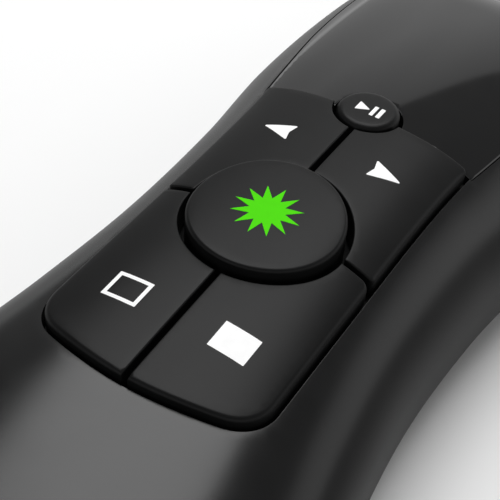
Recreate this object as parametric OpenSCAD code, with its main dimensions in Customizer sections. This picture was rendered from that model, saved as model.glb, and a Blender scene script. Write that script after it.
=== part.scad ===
// Wireless presentation clicker with a green pointer. Millimetres.
// +Y runs along the handle towards the beam, +X to the right, +Z up through the keys.
// The origin is at the middle of the footprint, on the surface the clicker lies on.

/* [Handle] */
// Overall length of the handle
body_length = 130; // [128:1:134]
// Wall thickness of both casing halves
wall = 2.2; // [2:0.1:2.4]
// Height of the flat joint between the casing halves
parting_z = 5; // [4.8:0.1:5.2]
// Height of the key tops at the big key
key_z = 28.5; // [28:0.1:29]
// Place of the big key along the handle
key_y = -2; // [-3:0.5:-1]
// Radius of the gentle arch of the top along the handle
profile_r = 580; // [500:10:700]

/* [Keys] */
// Radius of the round well of the laser key
laser_well_r = 8.8; // [8.6:0.1:9]
// Clearance around the laser key
laser_gap = 0.7; // [0.6:0.05:0.8]
// Height of the laser key above its neighbours
laser_rise = 1; // [0.8:0.1:1.2]
// Width of the slits between the keys
slit = 0.62; // [0.5:0.02:0.8]
// Clearance between the keys and the casing
key_gap = 0.35; // [0.3:0.05:0.45]
// How far each key goes down
key_travel = 0.6; // [0.4:0.1:0.7]
// Radius of the well of the play and pause key
play_well_r = 4.05; // [4:0.05:4.2]

/* [Cover] */
// Thickness of the glossy front cover
cover_t = 1.3; // [1.2:0.05:1.4]

/* [Battery door] */
// Half the width of the sliding battery door
door_half = 12.3; // [12.2:0.1:12.5]
// Clearance around the sliding door
door_gap = 0.15; // [0.1:0.05:0.2]

/* [Beam] */
// Height of the beam above the surface
beam_z = 10.5; // [10.3:0.1:10.6]
// Outer radius of the brass barrel
barrel_r = 4.5; // [4.3:0.1:4.5]

/* [Receiver] */
// Width of the plug-in receiver
receiver_w = 13; // [12.6:0.1:13.2]
// Thickness of the plug-in receiver
receiver_t = 6; // [5.8:0.1:6.2]

/* [Hidden] */

half_length = body_length / 2;
// Outline of the handle: place along it, half width
width_stations = [
    [-65, 21.5], [-46, 23.1], [-30, 22.45], [-16, 20.45], [-2, 19.3],
    [14, 19.85], [30, 21.7], [46, 21.65], [65, 19.4]
];
// Height of the widest line of the handle: place along it, height
waist_stations = [[-65, 13.5], [-40, 11.8], [-2, 10], [35, 8], [65, 9]];
// Seam between cover and casing: place along the handle, half width
seam_stations = [[15, 12.4], [19, 13.15], [28, 14.4], [37, 15.55], [47, 15.8], [64, 14]];
upper_power = 2.6;
lower_power = 2.4;
end_power = 2.4;
tail_start = -40;
tail_size = 0.42;
nose_start = 51;
nose_size = 0.5;
key_step = 1;
sole_sink = 0.35;
ring_points = 40;
tail_rings = 7;
nose_rings = 7;
middle_step = 7;
far = 200;

// Key outlines
key_half = 12.15;
key_front_half = 12.75;
keypad_front = 19.65;
keypad_back = -25.7;
cover_edge = 20;
tip_start = 50;
tip_end = 63;
back_arc = 30;
corner_r = 4.4;
side_gap_y = key_y;
play_y = 20;
play_r = play_well_r - 0.45;
key_bottom = 24.4;

// Switches and boards
guide_top = 23.6;
guide_bottom = 22;
stem_r = 1.5;
stem_hole_r = 1.9;
board_top = 18;
board_t = 1.6;
board_bottom = board_top - board_t;
board_half = 12.6;
board_back = -27;
board_front = 57;
board_taper = 34;
board_nose_half = 9;
board_chamfer = 3;
switch_size = 6;
switch_h = 2;
button_r = 1.6;
button_gap = 0.08;
switch_floor = 0.4;
button_bottom = board_top + switch_floor + key_travel + 0.2;
button_top = board_top + switch_h + key_travel + 0.3;
side_key_x = 6.8;
back_key_x = 6.2;
front_key_y = 11.2;
back_key_y = -16;
switch_places = [
    [0, key_y], [-side_key_x, front_key_y], [side_key_x, front_key_y],
    [-back_key_x, back_key_y], [back_key_x, back_key_y], [0, play_y]
];
post_places = [[-10.4, 3.6], [10.4, 3.6], [-9.2, -21.6], [9.2, -21.6]];
post_r = 1.8;
led_y = 53;

// Batteries
cell_r = 5.2;
cell_length = 43.6;
nub_length = 0.9;
nub_r = 1.9;
cell_x = 5.6;
cell_z = 7.9;
tray_back = -46;
tray_front = 7.6;
tray_wall = 1.8;
tray_top = 14.8;
tray_half = 12.1;
plate_t = 0.4;
plate_half = 3.8;
contact_half = 9.4;
contact_bottom = 4.4;
contact_top = 11.6;
cell_clear = 0.35;
bay_back = tray_back + tray_wall;
bay_front = tray_front - tray_wall;
plate_back = bay_back + plate_t;
plate_front = bay_front - plate_t;
spring_length = plate_front - plate_back - cell_length - nub_length;

// Battery door
door_back = -63;
door_front = tray_front - 1;
door_top = parting_z - 0.15;
rib_w = 1.1;
tongue_w = 1.3;
tongue_bottom = 3.1;
tongue_top = 4.3;
door_bar_top = 2.3;
rib_z = tongue_top - 2.1;
groove_w = 13;
groove_l = 1.2;
groove_pitch = 2.4;
groove_first = -12;
groove_count = 6;

// Driver board and power switch
driver_bottom = 8.2;
driver_top = 9.4;
driver_back = 22;
driver_front = 37;
driver_half = 9;
post_x = 7.4;
post_y = driver_back + 1.8;
power_y = 27;
power_travel = 3;
power_slot_w = 3.6;
power_grip_w = 3;
power_grip_l = 5;
power_base_top = 3;
power_rest = power_y - power_travel / 2;

// Beam
barrel_back = 39;
barrel_front = 60;
barrel_tip = 61.6;
barrel_bore = 3.1;
diode_r = 2.8;
diode_back = 39.2;
diode_seat = 42.5;
lens_y = 57;
lens_r = 3;
clamp_half = 7;
clamp_back = 46;
clamp_front = 53;
clamp_bottom = 2.4;
clamp_top = 15.6;
nose_ring_r = 4.7;
nose_ring_t = 2.8;
window_r = 3.45;
window_t = 0.8;
window_seat = 1.7;
beam_opening_r = 2.6;

// Screws
screw_r = 0.9;
head_r = 1.6;
head_t = 0.9;
back_screw = [16.6, -33];
back_seat = 4.4;
front_screw = [12, 40];
front_seat = 2.2;
boss_r = 2.6;
boss_fn = 24;
pillar_r = 3.8;
screw_clear = 0.2;

// Receiver
receiver_z = 12.9;
dock_w = 17;
dock_h = 9;
dock_back = -60.5;
receiver_gap = 0.25;
grip_length = 6.4;
plug_length = 11.8;
plug_w = 12;
plug_t = 4.5;
plug_wall = 0.3;
grip_inner = -half_length + grip_length;
plug_inner = grip_inner + plug_length;

// ---- Shape of the handle ----

// Smooth curve through stations [place, value]
function slope(p, i) = (p[i + 1][1] - p[i][1]) / (p[i + 1][0] - p[i][0]);
function tangent(p, i) =
    i == 0 ? slope(p, 0)
    : i == len(p) - 1 ? slope(p, i - 1)
    : (slope(p, i - 1) + slope(p, i)) / 2;
function segment(p, y, i = 0) = i >= len(p) - 2 || y < p[i + 1][0] ? i : segment(p, y, i + 1);
function smooth(p, y) =
    let (i = segment(p, y))
    let (h = p[i + 1][0] - p[i][0])
    let (t = min(max((y - p[i][0]) / h, 0), 1))
    (2 * t ^ 3 - 3 * t ^ 2 + 1) * p[i][1]
    + (t ^ 3 - 2 * t ^ 2 + t) * h * tangent(p, i)
    + (3 * t ^ 2 - 2 * t ^ 3) * p[i + 1][1]
    + (t ^ 3 - t ^ 2) * h * tangent(p, i + 1);

// Rounding of an end: 1 at its start, the given size at its face
function rounding(t, size) = (1 - (1 - size ^ end_power) * t ^ end_power) ^ (1 / end_power);
function part_way(y, from, to) = min(max((y - from) / (to - from), 0), 1);
function end_scale(y, inset) =
    rounding(part_way(y, tail_start, -half_length + inset), tail_size)
    * rounding(part_way(y, nose_start, half_length - inset), nose_size);
function crest(y) = key_z - key_step - (y - key_y) ^ 2 / (2 * profile_r);
function waist_z(y) = smooth(waist_stations, y);
function half_width(y, inset) = (smooth(width_stations, y) - inset) * end_scale(y, inset);
function upper_height(y, inset) = (crest(y) - inset - waist_z(y)) * end_scale(y, inset);
function lower_height(y, inset) = (waist_z(y) + sole_sink - inset) * end_scale(y, inset);

function signed_power(v, p) = sign(v) * abs(v) ^ p;
function ring(y, inset) = [
    for (k = [0 : ring_points - 1])
        let (a = 360 * k / ring_points)
        let (upper = sin(a) > 0)
        let (p = 2 / (upper ? upper_power : lower_power))
        let (h = upper ? upper_height(y, inset) : lower_height(y, inset))
        [
            half_width(y, inset) * signed_power(cos(a), p),
            y,
            waist_z(y) + h * signed_power(sin(a), p)
        ]
];
function ring_places(inset) = concat(
    [for (i = [0 : tail_rings - 1])
        -half_length + inset + (tail_start + half_length - inset) * (1 - cos(90 * i / tail_rings))],
    [for (y = [tail_start : middle_step : nose_start - 1]) y],
    [for (i = [0 : nose_rings])
        nose_start + (half_length - inset - nose_start) * sin(90 * i / nose_rings)]
);

// Solid form of the handle, drawn in by inset all round
module handle_form(inset) {
    places = ring_places(inset);
    rings = len(places);
    points = [for (y = places) each ring(y, inset)];
    sides = [
        for (i = [0 : rings - 2])
            for (k = [0 : ring_points - 1])
                let (a = i * ring_points + k)
                let (b = i * ring_points + (k + 1) % ring_points)
                each [[a, b, a + ring_points], [b, b + ring_points, a + ring_points]]
    ];
    tail = [for (k = [ring_points - 1 : -1 : 0]) k];
    nose = [for (k = [0 : ring_points - 1]) (rings - 1) * ring_points + k];
    polyhedron(points, concat(sides, [tail, nose]), convexity = 4);
}

// Keeps freeform walls as one mesh
module freeform() {
    resize([0, 0, 0]) children();
}

module above(z) {
    translate([-far / 2, -far / 2, z]) cube([far, far, far]);
}

module below(z) {
    translate([-far / 2, -far / 2, z - far]) cube([far, far, far]);
}

// A block between two corners
module block(low, high) {
    translate(low) cube(high - low);
}

// A rod along the handle
module rod(r, from, to, x = 0, z = 0, fn = 64) {
    translate([x, from, z]) rotate([-90, 0, 0]) cylinder(r = r, h = to - from, $fn = fn);
}

// A block centred on X and z, running along the handle
module bar(w, h, from, to, x = 0, z = 0) {
    translate([x - w / 2, from, z - h / 2]) cube([w, to - from, h]);
}

// ---- Outlines seen from above ----

function side_x(y) =
    y < key_y ? key_half
    : key_half + (key_front_half - key_half) * ((y - key_y) / (keypad_front - key_y)) ^ 3;

// Whole keypad, grown by margin
module keypad_outline(margin) {
    back_drop = 1.2;
    corner_y = keypad_back + corner_r + back_drop;
    corner_x = key_half - corner_r;
    r = corner_r + margin;
    right = concat(
        [for (x = [0 : 1.5 : corner_x - 1])
            [x, keypad_back - margin + x ^ 2 / (2 * back_arc)]],
        [for (a = [-75 : 15 : 0]) [corner_x + r * cos(a), corner_y + r * sin(a)]],
        [for (y = [key_y : 3 : keypad_front]) [side_x(y) + margin, y]],
        [[side_x(keypad_front) + margin, keypad_front + margin]]
    );
    left = [for (i = [len(right) - 1 : -1 : 1]) [-right[i][0], right[i][1]]];
    polygon(concat(right, left));
}

module play_circle(r) {
    translate([0, play_y]) circle(r = r, $fn = 64);
}

module laser_circle(r) {
    translate([0, key_y]) circle(r = r, $fn = 96);
}

// One of the four flat keys: side is -1 or 1
module key_quarter(side, front) {
    inner = slit / 2;
    difference() {
        intersection() {
            keypad_outline(0);
            translate([side > 0 ? inner : -far - inner, side_gap_y + (front ? inner : -inner - far)])
                square([far, far]);
        }
        laser_circle(laser_well_r);
        play_circle(play_well_r);
    }
}

function cover_x(y, margin) =
    (smooth(seam_stations, y) + margin) * rounding(part_way(y, tip_start, tip_end + margin), 0);

module cover_outline(margin) {
    steps = 8;
    tip_length = tip_end - tip_start + margin;
    places = concat(
        [for (y = [cover_edge - margin : 4 : tip_start]) y],
        [for (i = [0 : steps]) tip_start + tip_length * sin(90 * i / steps)]
    );
    right = [for (y = places) [cover_x(y, margin), y]];
    left = [for (i = [len(right) - 1 : -1 : 0]) [-right[i][0], right[i][1]]];
    polygon(concat(right, left));
}

// ---- Casing ----

module screw_boss(place, from, to) {
    for (side = [-1, 1])
        translate([side * place[0], place[1], from]) cylinder(r = boss_r, h = to - from, $fn = boss_fn);
}

module screw_hole(place, r, from, to) {
    for (side = [-1, 1])
        translate([side * place[0], place[1], from]) cylinder(r = r, h = to - from, $fn = boss_fn);
}

module receiver_opening(margin, from, to) {
    bar(receiver_w + 2 * margin, receiver_t + 2 * margin, from, to, 0, receiver_z);
}

module top_shell() {
    color([0.075, 0.077, 0.08])
        freeform() difference() {
            intersection() {
                handle_form(0);
                above(parting_z);
            }
            difference() {
                handle_form(wall);
                intersection() {
                    screw_boss(back_screw, parting_z, 30);
                    above(parting_z + 0.1);
                }
                intersection() {
                    screw_boss(front_screw, parting_z, 30);
                    above(parting_z + 0.1);
                }
                for (side = [-1, 1])
                    translate([side * front_screw[0], front_screw[1], board_top])
                        cylinder(r = pillar_r, h = 12, $fn = boss_fn);
            }
            difference() {
                linear_extrude(60) cover_outline(0.1);
                handle_form(cover_t + 0.05);
                below(14);
            }
            translate([0, 0, guide_bottom - 1]) linear_extrude(20) keypad_outline(key_gap);
            translate([0, 0, guide_bottom - 1]) linear_extrude(20) play_circle(play_well_r);
            screw_hole(back_screw, screw_r + screw_clear, 0, 15);
            screw_hole(front_screw, screw_r + screw_clear, 0, 13);
            receiver_opening(receiver_gap, -half_length - 1, grip_inner);
            rod(nose_ring_r + 0.05, half_length - 5, half_length + 1, 0, beam_z, 48);
            translate([0, led_y, board_top]) cylinder(r = 1.2, h = 20, $fn = 24);
        }
}

// Posts on the bottom shell that hold the driver board
module driver_posts() {
    for (side = [-1, 1])
        translate([side * post_x, post_y, 0]) cylinder(r = 1.5, h = driver_bottom - 0.02, $fn = 24);
}

module bottom_shell() {
    opening = door_half + door_gap;
    groove_x = opening + tongue_w + door_gap;
    rail_w = 5;
    rail_back = -64;
    rail_front = door_front + 2;
    slot_half = power_travel / 2 + power_grip_l / 2 + 0.2;
    recess_half = 4;
    recess_l = 13;
    recess_depth = 0.9;
    color([0.07, 0.072, 0.075])
        freeform() difference() {
            union() {
                difference() {
                    handle_form(0);
                    handle_form(wall);
                }
                intersection() {
                    handle_form(0.3);
                    union() {
                        for (side = [-1, 1])
                            bar(rail_w, 4, rail_back, rail_front, side * (opening + rail_w / 2), 3);
                        bar(2 * opening + 6, 10, door_front + door_gap, rail_front);
                        screw_boss(back_screw, 0, parting_z);
                        screw_boss(front_screw, 0, parting_z);
                        driver_posts();
                    }
                }
            }
            difference() {
                above(parting_z - 0.02);
                driver_posts();
            }
            below(0);
            block([-opening, -half_length - 1, -1], [opening, door_front + door_gap, parting_z + 1]);
            block(
                [-groove_x, -half_length - 1, tongue_bottom - door_gap],
                [groove_x, door_front + door_gap, tongue_top + door_gap]
            );
            screw_hole(back_screw, screw_r + screw_clear, 0, 15);
            screw_hole(front_screw, screw_r + screw_clear, 0, 15);
            screw_hole(back_screw, head_r + 0.3, 0, back_seat);
            screw_hole(front_screw, head_r + 0.3, -1, front_seat);
            bar(power_slot_w, 8, power_y - slot_half, power_y + slot_half);
            bar(2 * recess_half, 2 * recess_depth, power_y - recess_l / 2, power_y + recess_l / 2);
        }
}

module front_cover() {
    color([0.03, 0.03, 0.033])
        freeform() difference() {
            intersection() {
                handle_form(0);
                linear_extrude(60) cover_outline(0);
                above(14);
            }
            handle_form(cover_t);
            translate([0, 0, 10]) linear_extrude(40) play_circle(play_well_r);
        }
}

// ---- Keys ----

// Top that all the keys share: the skin of the handle, raised
module crown(rise) {
    translate([0, 0, key_step + rise]) handle_form(0);
}

module key_stem(place) {
    translate([place[0], place[1], button_top])
        cylinder(r = stem_r, h = key_bottom - button_top + 0.5, $fn = 32);
}

module flat_key(side, front, place) {
    color([0.16, 0.165, 0.17]) freeform() union() {
        intersection() {
            translate([0, 0, key_bottom]) linear_extrude(10) key_quarter(side, front);
            crown(0);
        }
        key_stem(place);
    }
}

module laser_key() {
    color([0.16, 0.165, 0.17]) freeform() union() {
        intersection() {
            translate([0, key_y, key_bottom]) cylinder(r = laser_well_r - laser_gap, h = 10, $fn = 96);
            crown(laser_rise);
        }
        key_stem(switch_places[0]);
    }
}

module previous_key() flat_key(-1, true, switch_places[1]);
module next_key() flat_key(1, true, switch_places[2]);
module screen_outline_key() flat_key(-1, false, switch_places[3]);
module screen_solid_key() flat_key(1, false, switch_places[4]);

module play_key() {
    color([0.16, 0.165, 0.17]) freeform() union() {
        intersection() {
            translate([0, play_y, key_bottom]) cylinder(r = play_r, h = 10, $fn = 64);
            crown(0.2);
        }
        key_stem(switch_places[5]);
    }
}

module switch_button(i) {
    place = switch_places[i];
    color("gainsboro")
        translate([place[0], place[1], button_bottom])
            cylinder(r = button_r, h = button_top - button_bottom, $fn = 48);
}

module laser_switch_button() switch_button(0);
module previous_switch_button() switch_button(1);
module next_switch_button() switch_button(2);
module screen_outline_switch_button() switch_button(3);
module screen_solid_switch_button() switch_button(4);
module play_switch_button() switch_button(5);

module key_switches() {
    color([0.12, 0.12, 0.13])
        for (place = switch_places)
            difference() {
                translate([place[0] - switch_size / 2, place[1] - switch_size / 2, board_top])
                    cube([switch_size, switch_size, switch_h]);
                translate([place[0], place[1], board_top + switch_floor])
                    cylinder(r = button_r + button_gap, h = switch_h, $fn = 48);
            }
}

// Plate under the keys that carries their stems
module key_guide() {
    color([0.02, 0.02, 0.02]) difference() {
        union() {
            translate([0, 0, guide_bottom]) linear_extrude(guide_top - guide_bottom) keypad_outline(0.2);
            block([-6.5, 15, guide_bottom], [6.5, 25.5, guide_top]);
            for (place = post_places)
                translate([place[0], place[1], board_top])
                    cylinder(r = post_r, h = guide_bottom - board_top + 0.5, $fn = 32);
        }
        for (place = switch_places)
            translate([place[0], place[1], guide_bottom - 1]) cylinder(r = stem_hole_r, h = 5, $fn = 32);
        for (place = post_places)
            translate([place[0], place[1], board_top - 1]) cylinder(r = screw_r + 0.1, h = 4, $fn = 32);
    }
}

// ---- Boards ----

module main_board() {
    color([0.03, 0.28, 0.12])
        difference() {
            translate([0, 0, board_bottom]) linear_extrude(board_t) polygon([
                [-board_half + board_chamfer, board_back], [board_half - board_chamfer, board_back],
                [board_half, board_back + board_chamfer], [board_half, board_taper],
                [board_nose_half, board_front], [-board_nose_half, board_front],
                [-board_half, board_taper], [-board_half, board_back + board_chamfer]
            ]);
            for (place = post_places)
                translate([place[0], place[1], board_bottom - 1])
                    cylinder(r = screw_r + 0.1, h = 4, $fn = 32);
            for (side = [-1, 1])
                translate([side * front_screw[0], front_screw[1], board_bottom - 1])
                    cylinder(r = 3, h = 4, $fn = 32);
        }
}

module chip(x, y, w, l, h) {
    block([x - w / 2, y - l / 2, board_top], [x + w / 2, y + l / 2, board_top + h]);
}

module controller_chip() {
    color([0.05, 0.05, 0.055]) chip(0, 32, 7, 7, 1);
}

module radio_chip() {
    color([0.06, 0.06, 0.065]) chip(-4, 42, 5, 5, 0.9);
}

module crystal() {
    color("silver") chip(4, 41, 3.2, 5, 1.1);
}

module capacitors() {
    color([0.62, 0.48, 0.3]) {
        for (side = [-1, 1])
            for (y = [28 : 2.4 : 37.7])
                chip(side * 7, y, 1.6, 0.9, 0.8);
        for (y = [-9.2, 1.8, 6.2])
            chip(0, y, 1.6, 0.9, 0.8);
    }
}

// Folded antenna track on the front of the board
module antenna() {
    track = 0.8;
    pitch = 2;
    run = 3.6;
    start = [-8, 47];
    color([0.8, 0.6, 0.25])
        translate([start[0], start[1], board_top]) linear_extrude(0.15) union() {
            for (i = [0 : 3])
                translate([pitch * i, 0]) square([track, run]);
            for (i = [0 : 2])
                translate([pitch * i, i % 2 == 0 ? run - track : 0]) square([pitch + track, track]);
        }
}

module status_led() {
    color("ivory") chip(0, led_y, 1.6, 1.2, 0.7);
}

// Light pipe from the status light up to the smoked cover
module status_lens() {
    foot = board_top + 0.8;
    top = waist_z(led_y) + upper_height(led_y, cover_t) - 0.15;
    color([0.8, 0.9, 0.8, 0.6])
        translate([0, led_y, foot]) cylinder(r = 0.9, h = top - foot, $fn = 32);
}

// Screw standing on its head, with a cross recess
module screw(length) {
    slot_w = 0.5;
    slot_l = 2.4;
    slot_depth = 0.6;
    difference() {
        union() {
            cylinder(r = head_r, h = head_t, $fn = 32);
            cylinder(r = screw_r, h = length, $fn = 32);
        }
        for (a = [0, 90])
            rotate([0, 0, a])
                translate([-slot_l / 2, -slot_w / 2, -1]) cube([slot_l, slot_w, 1 + slot_depth]);
    }
}

module board_screws() {
    color("silver")
        for (place = post_places)
            translate([place[0], place[1], board_bottom - head_t]) screw(5);
}

module shell_screws() {
    color([0.25, 0.25, 0.26])
        for (side = [-1, 1]) {
            translate([side * back_screw[0], back_screw[1], back_seat - head_t]) screw(10);
            translate([side * front_screw[0], front_screw[1], front_seat - head_t]) screw(10);
        }
}

module board_connector() {
    color([0.1, 0.1, 0.1]) block([-7, 31, driver_top], [-1, 33.4, board_bottom]);
}

module driver_board() {
    color([0.03, 0.28, 0.12])
        block([-driver_half, driver_back, driver_bottom], [driver_half, driver_front, driver_top]);
}

// Coil, capacitor and regulator that feed the laser
module driver_parts() {
    color([0.3, 0.3, 0.32]) {
        translate([5, 26, driver_top]) cylinder(r = 2.4, h = 2.4, $fn = 32);
        translate([-5.2, 26, driver_top]) cylinder(r = 2, h = 5, $fn = 32);
        block([2.4, 31, driver_top], [6.8, 33.6, driver_top + 1.4]);
    }
}

module power_switch() {
    color("silver") difference() {
        block([-4.5, power_y - 4.4, power_base_top + 1.9], [4.5, power_y + 4.4, driver_bottom]);
        block([-1.2, power_y - 2.6, 4], [1.2, power_y + 2.6, 6.6]);
    }
}

module power_lever() {
    half = 0.8;
    color("white")
        block([-half, power_rest - half, power_base_top + 0.3], [half, power_rest + half, 6.2]);
}

module power_slider() {
    base_half = 3.2;
    base_l = 7.2;
    groove = 0.6;
    pitch = 1.4;
    fork_w = 3.2;
    fork_t = 1.2;
    fork_y = 1.5;
    color([0.2, 0.2, 0.21]) {
        difference() {
            bar(power_grip_w, 2.1, power_rest - power_grip_l / 2, power_rest + power_grip_l / 2, 0, 1.45);
            for (i = [-1 : 1])
                translate([0, power_rest + pitch * i, 0]) block([-3, -groove / 2, 0], [3, groove / 2, 0.8]);
        }
        translate([0, power_rest, 0])
            block([-base_half, -base_l / 2, 2.1], [base_half, base_l / 2, power_base_top]);
        for (end = [-1, 1])
            translate([0, power_rest + fork_y * end, 0]) bar(fork_w, 1.7, -fork_t / 2, fork_t / 2, 0, 3.75);
    }
}

// ---- Beam ----

module laser_barrel() {
    color([0.78, 0.6, 0.28]) difference() {
        union() {
            rod(barrel_r, barrel_back, barrel_front, 0, beam_z);
            rod(barrel_r - 0.7, barrel_front, barrel_tip, 0, beam_z);
        }
        rod(barrel_bore, diode_seat, barrel_tip + 1, 0, beam_z);
        rod(diode_r + 0.05, barrel_back - 1, diode_seat + 1, 0, beam_z);
    }
}

module laser_lens() {
    dome = 6;
    base = 1 - sqrt(dome ^ 2 - lens_r ^ 2);
    color([0.75, 0.9, 0.85, 0.5])
        translate([0, lens_y, beam_z]) rotate([-90, 0, 0])
            rotate_extrude($fn = 64) polygon(concat(
                [[0, 0], [lens_r, 0]],
                [for (r = [lens_r : -0.5 : 0]) [r, base + sqrt(dome ^ 2 - r ^ 2)]]
            ));
}

module laser_diode() {
    flange_t = 1.2;
    can_r = 1.8;
    pin_r = 0.22;
    pin_back = 34;
    pin_drop = 0.6;
    color([0.75, 0.65, 0.35]) union() {
        rod(diode_r, diode_back, diode_back + flange_t, 0, beam_z);
        rod(can_r, diode_back + flange_t - 0.1, diode_seat + 0.1, 0, beam_z);
        for (x = [-1, 0, 1])
            rod(pin_r, pin_back, diode_back + 0.1, x, beam_z - (x == 0 ? -pin_drop : pin_drop), 16);
    }
}

module laser_clamp() {
    foot_half = 5.2;
    foot_top = 3.2;
    color([0.1, 0.1, 0.11]) difference() {
        block([-clamp_half, clamp_back, clamp_bottom], [clamp_half, clamp_front, clamp_top]);
        rod(barrel_r + 0.02, clamp_back - 1, clamp_front + 1, 0, beam_z);
        for (side = [-1, 1])
            bar(4, 2 * foot_top, clamp_back - 1, clamp_front + 1, side * (foot_half + 2));
    }
}

module nose_ring() {
    color([0.45, 0.46, 0.48]) difference() {
        rod(nose_ring_r, half_length - nose_ring_t, half_length, 0, beam_z);
        rod(window_r + 0.05, half_length - window_seat, half_length + 1, 0, beam_z);
        rod(beam_opening_r, half_length - 4, half_length, 0, beam_z);
    }
}

module laser_window() {
    back = half_length - window_seat + 0.05;
    color([0.3, 0.35, 0.35, 0.5]) rod(window_r, back, back + window_t, 0, beam_z);
}

// ---- Batteries ----

module battery_tray() {
    flange_half = 14.6;
    flange_back = -28;
    flange_t = 1.5;
    stud_r = 1.6;
    bay_half = cell_x + cell_r + cell_clear;
    color([0.12, 0.12, 0.13]) difference() {
        union() {
            block([-tray_half, tray_back, parting_z + 0.3], [tray_half, tray_front, tray_top]);
            block([-flange_half, flange_back, parting_z], [flange_half, tray_front, parting_z + flange_t]);
            for (x = [-5, 5])
                for (y = [-24.5, 5.2])
                    translate([x, y, tray_top - 1])
                        cylinder(r = stud_r, h = board_bottom - tray_top + 1, $fn = 24);
        }
        block([-contact_half, bay_back, 0], [contact_half, plate_back, contact_top]);
        for (x = [-cell_x, cell_x])
            rod(cell_r + cell_clear, bay_back, bay_front, x, cell_z);
        block([-bay_half, bay_back, 0], [bay_half, bay_front, cell_z]);
    }
}

// One cell with its plus end at plus_y, pointing along direction
module cell(x, plus_y, direction) {
    translate([x, plus_y, cell_z]) rotate([direction > 0 ? 90 : -90, 0, 0]) union() {
        cylinder(r = nub_r, h = nub_length + 0.2, $fn = 32);
        translate([0, 0, nub_length]) cylinder(r = cell_r, h = cell_length, $fn = 64);
    }
}

module battery_left() {
    color([0.75, 0.6, 0.3]) cell(-cell_x, plate_front, 1);
}

module battery_right() {
    color([0.75, 0.6, 0.3]) cell(cell_x, plate_back, -1);
}

module contact_bridge() {
    color("silver")
        block([-contact_half, bay_back, contact_bottom], [contact_half, plate_back, contact_top]);
}

module contact_plate(x) {
    color("silver")
        block([x - plate_half, plate_front, contact_bottom], [x + plate_half, bay_front, contact_top]);
}

module contact_left() contact_plate(-cell_x);
module contact_right() contact_plate(cell_x);

// Tube swept along points in the handle's direction
module swept_tube(path, r, sides) {
    n = len(path);
    function heading(i) = path[min(i + 1, n - 1)] - path[max(i - 1, 0)];
    function unit(v) = v / norm(v);
    function ring_at(i) =
        let (d = unit(heading(i)))
        let (u = unit(cross(d, abs(d[0]) < 0.9 ? [1, 0, 0] : [0, 0, 1])))
        let (v = cross(d, u))
        [for (k = [0 : sides - 1]) path[i] + r * (cos(360 * k / sides) * u + sin(360 * k / sides) * v)];
    points = [for (i = [0 : n - 1]) each ring_at(i)];
    walls = [
        for (i = [0 : n - 2])
            for (k = [0 : sides - 1])
                let (a = i * sides + k)
                let (b = i * sides + (k + 1) % sides)
                each [[a, a + sides, b], [b, a + sides, b + sides]]
    ];
    first = [for (k = [0 : sides - 1]) k];
    last = [for (k = [sides - 1 : -1 : 0]) (n - 1) * sides + k];
    polyhedron(points, concat(walls, [first, last]), convexity = 6);
}

// Tapered spring that presses on a cell's flat end
module cell_spring(x, from, to) {
    turns = 3;
    steps = 14;
    wire_r = 0.25;
    wide_r = 3.6;
    narrow_r = 2;
    total = turns * steps;
    span = to - from;
    lift = sign(span) * (wire_r + 0.02);
    path = [
        for (i = [0 : total])
            let (t = i / total)
            let (r = wide_r - (wide_r - narrow_r) * t)
            let (a = 360 * turns * t)
            [x + r * cos(a), from + lift + (span - 2 * lift) * t, cell_z + r * sin(a)]
    ];
    color("silver") swept_tube(path, wire_r, 6);
}

module spring_left() cell_spring(-cell_x, plate_back, plate_back + spring_length);
module spring_right() cell_spring(cell_x, plate_front, plate_front - spring_length);

// Route of a lead from the battery contacts to the driver board
lead_start = [5.6, 7.6, 9.2];
lead_route = [
    [5.6, 8.6, 9.2], [5.6, 10, 9.4], [5.8, 12, 10], [6.2, 14, 10.7],
    [6.6, 16, 11.2], [6.8, 18, 11.2], [7, 20, 10.9], [7.2, 22, 10.3], [7.3, 23.4, 9.9]
];

module battery_leads() {
    for (side = [-1, 1])
        color(side > 0 ? "firebrick" : "black")
            swept_tube([for (p = concat([lead_start], lead_route)) [side * p[0], p[1], p[2]]], 0.5, 8);
}

// ---- Battery door ----

module battery_door() {
    color([0.07, 0.072, 0.075])
        freeform() difference() {
            union() {
                intersection() {
                    difference() {
                        handle_form(0);
                        handle_form(2);
                    }
                    block([-door_half, -half_length - 1, 0], [door_half, door_front, door_top]);
                }
                intersection() {
                    handle_form(0.3);
                    union() {
                        for (side = [-1, 1])
                            bar(rib_w, 4.2, door_back, door_front, side * (door_half - rib_w / 2), rib_z);
                        block([-door_half, door_front - 1.2, 0], [door_half, door_front, door_bar_top]);
                        for (side = [-1, 1])
                            bar(tongue_w + 1, tongue_top - tongue_bottom, door_back + 3, door_front,
                                side * (door_half + tongue_w / 2 - 0.5), (tongue_top + tongue_bottom) / 2);
                    }
                }
            }
            for (i = [0 : groove_count - 1])
                translate([0, groove_first + groove_pitch * i, 0]) bar(groove_w, 1.2, 0, groove_l);
        }
}

module door_pad() {
    color([0.2, 0.2, 0.22]) block([-3.4, -30, 1.74], [3.4, -6, 2.5]);
}

// ---- Receiver ----

module receiver_dock() {
    color([0.12, 0.12, 0.13]) difference() {
        bar(dock_w, dock_h, dock_back, tray_back, 0, receiver_z);
        receiver_opening(receiver_gap, dock_back - 0.5, grip_inner + 0.1);
        bar(plug_w + 0.4, plug_t + 0.4, dock_back - 0.5, plug_inner + 0.2, 0, receiver_z);
    }
}

module receiver_grip() {
    edge = 1;
    color([0.09, 0.09, 0.095])
        translate([0, grip_inner, receiver_z]) rotate([90, 0, 0]) linear_extrude(grip_length) union() {
            square([receiver_w - 2 * edge, receiver_t], center = true);
            square([receiver_w, receiver_t - 2 * edge], center = true);
            for (x = [-1, 1])
                for (y = [-1, 1])
                    translate([x * (receiver_w / 2 - edge), y * (receiver_t / 2 - edge)])
                        circle(r = edge, $fn = 32);
        }
}

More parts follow.
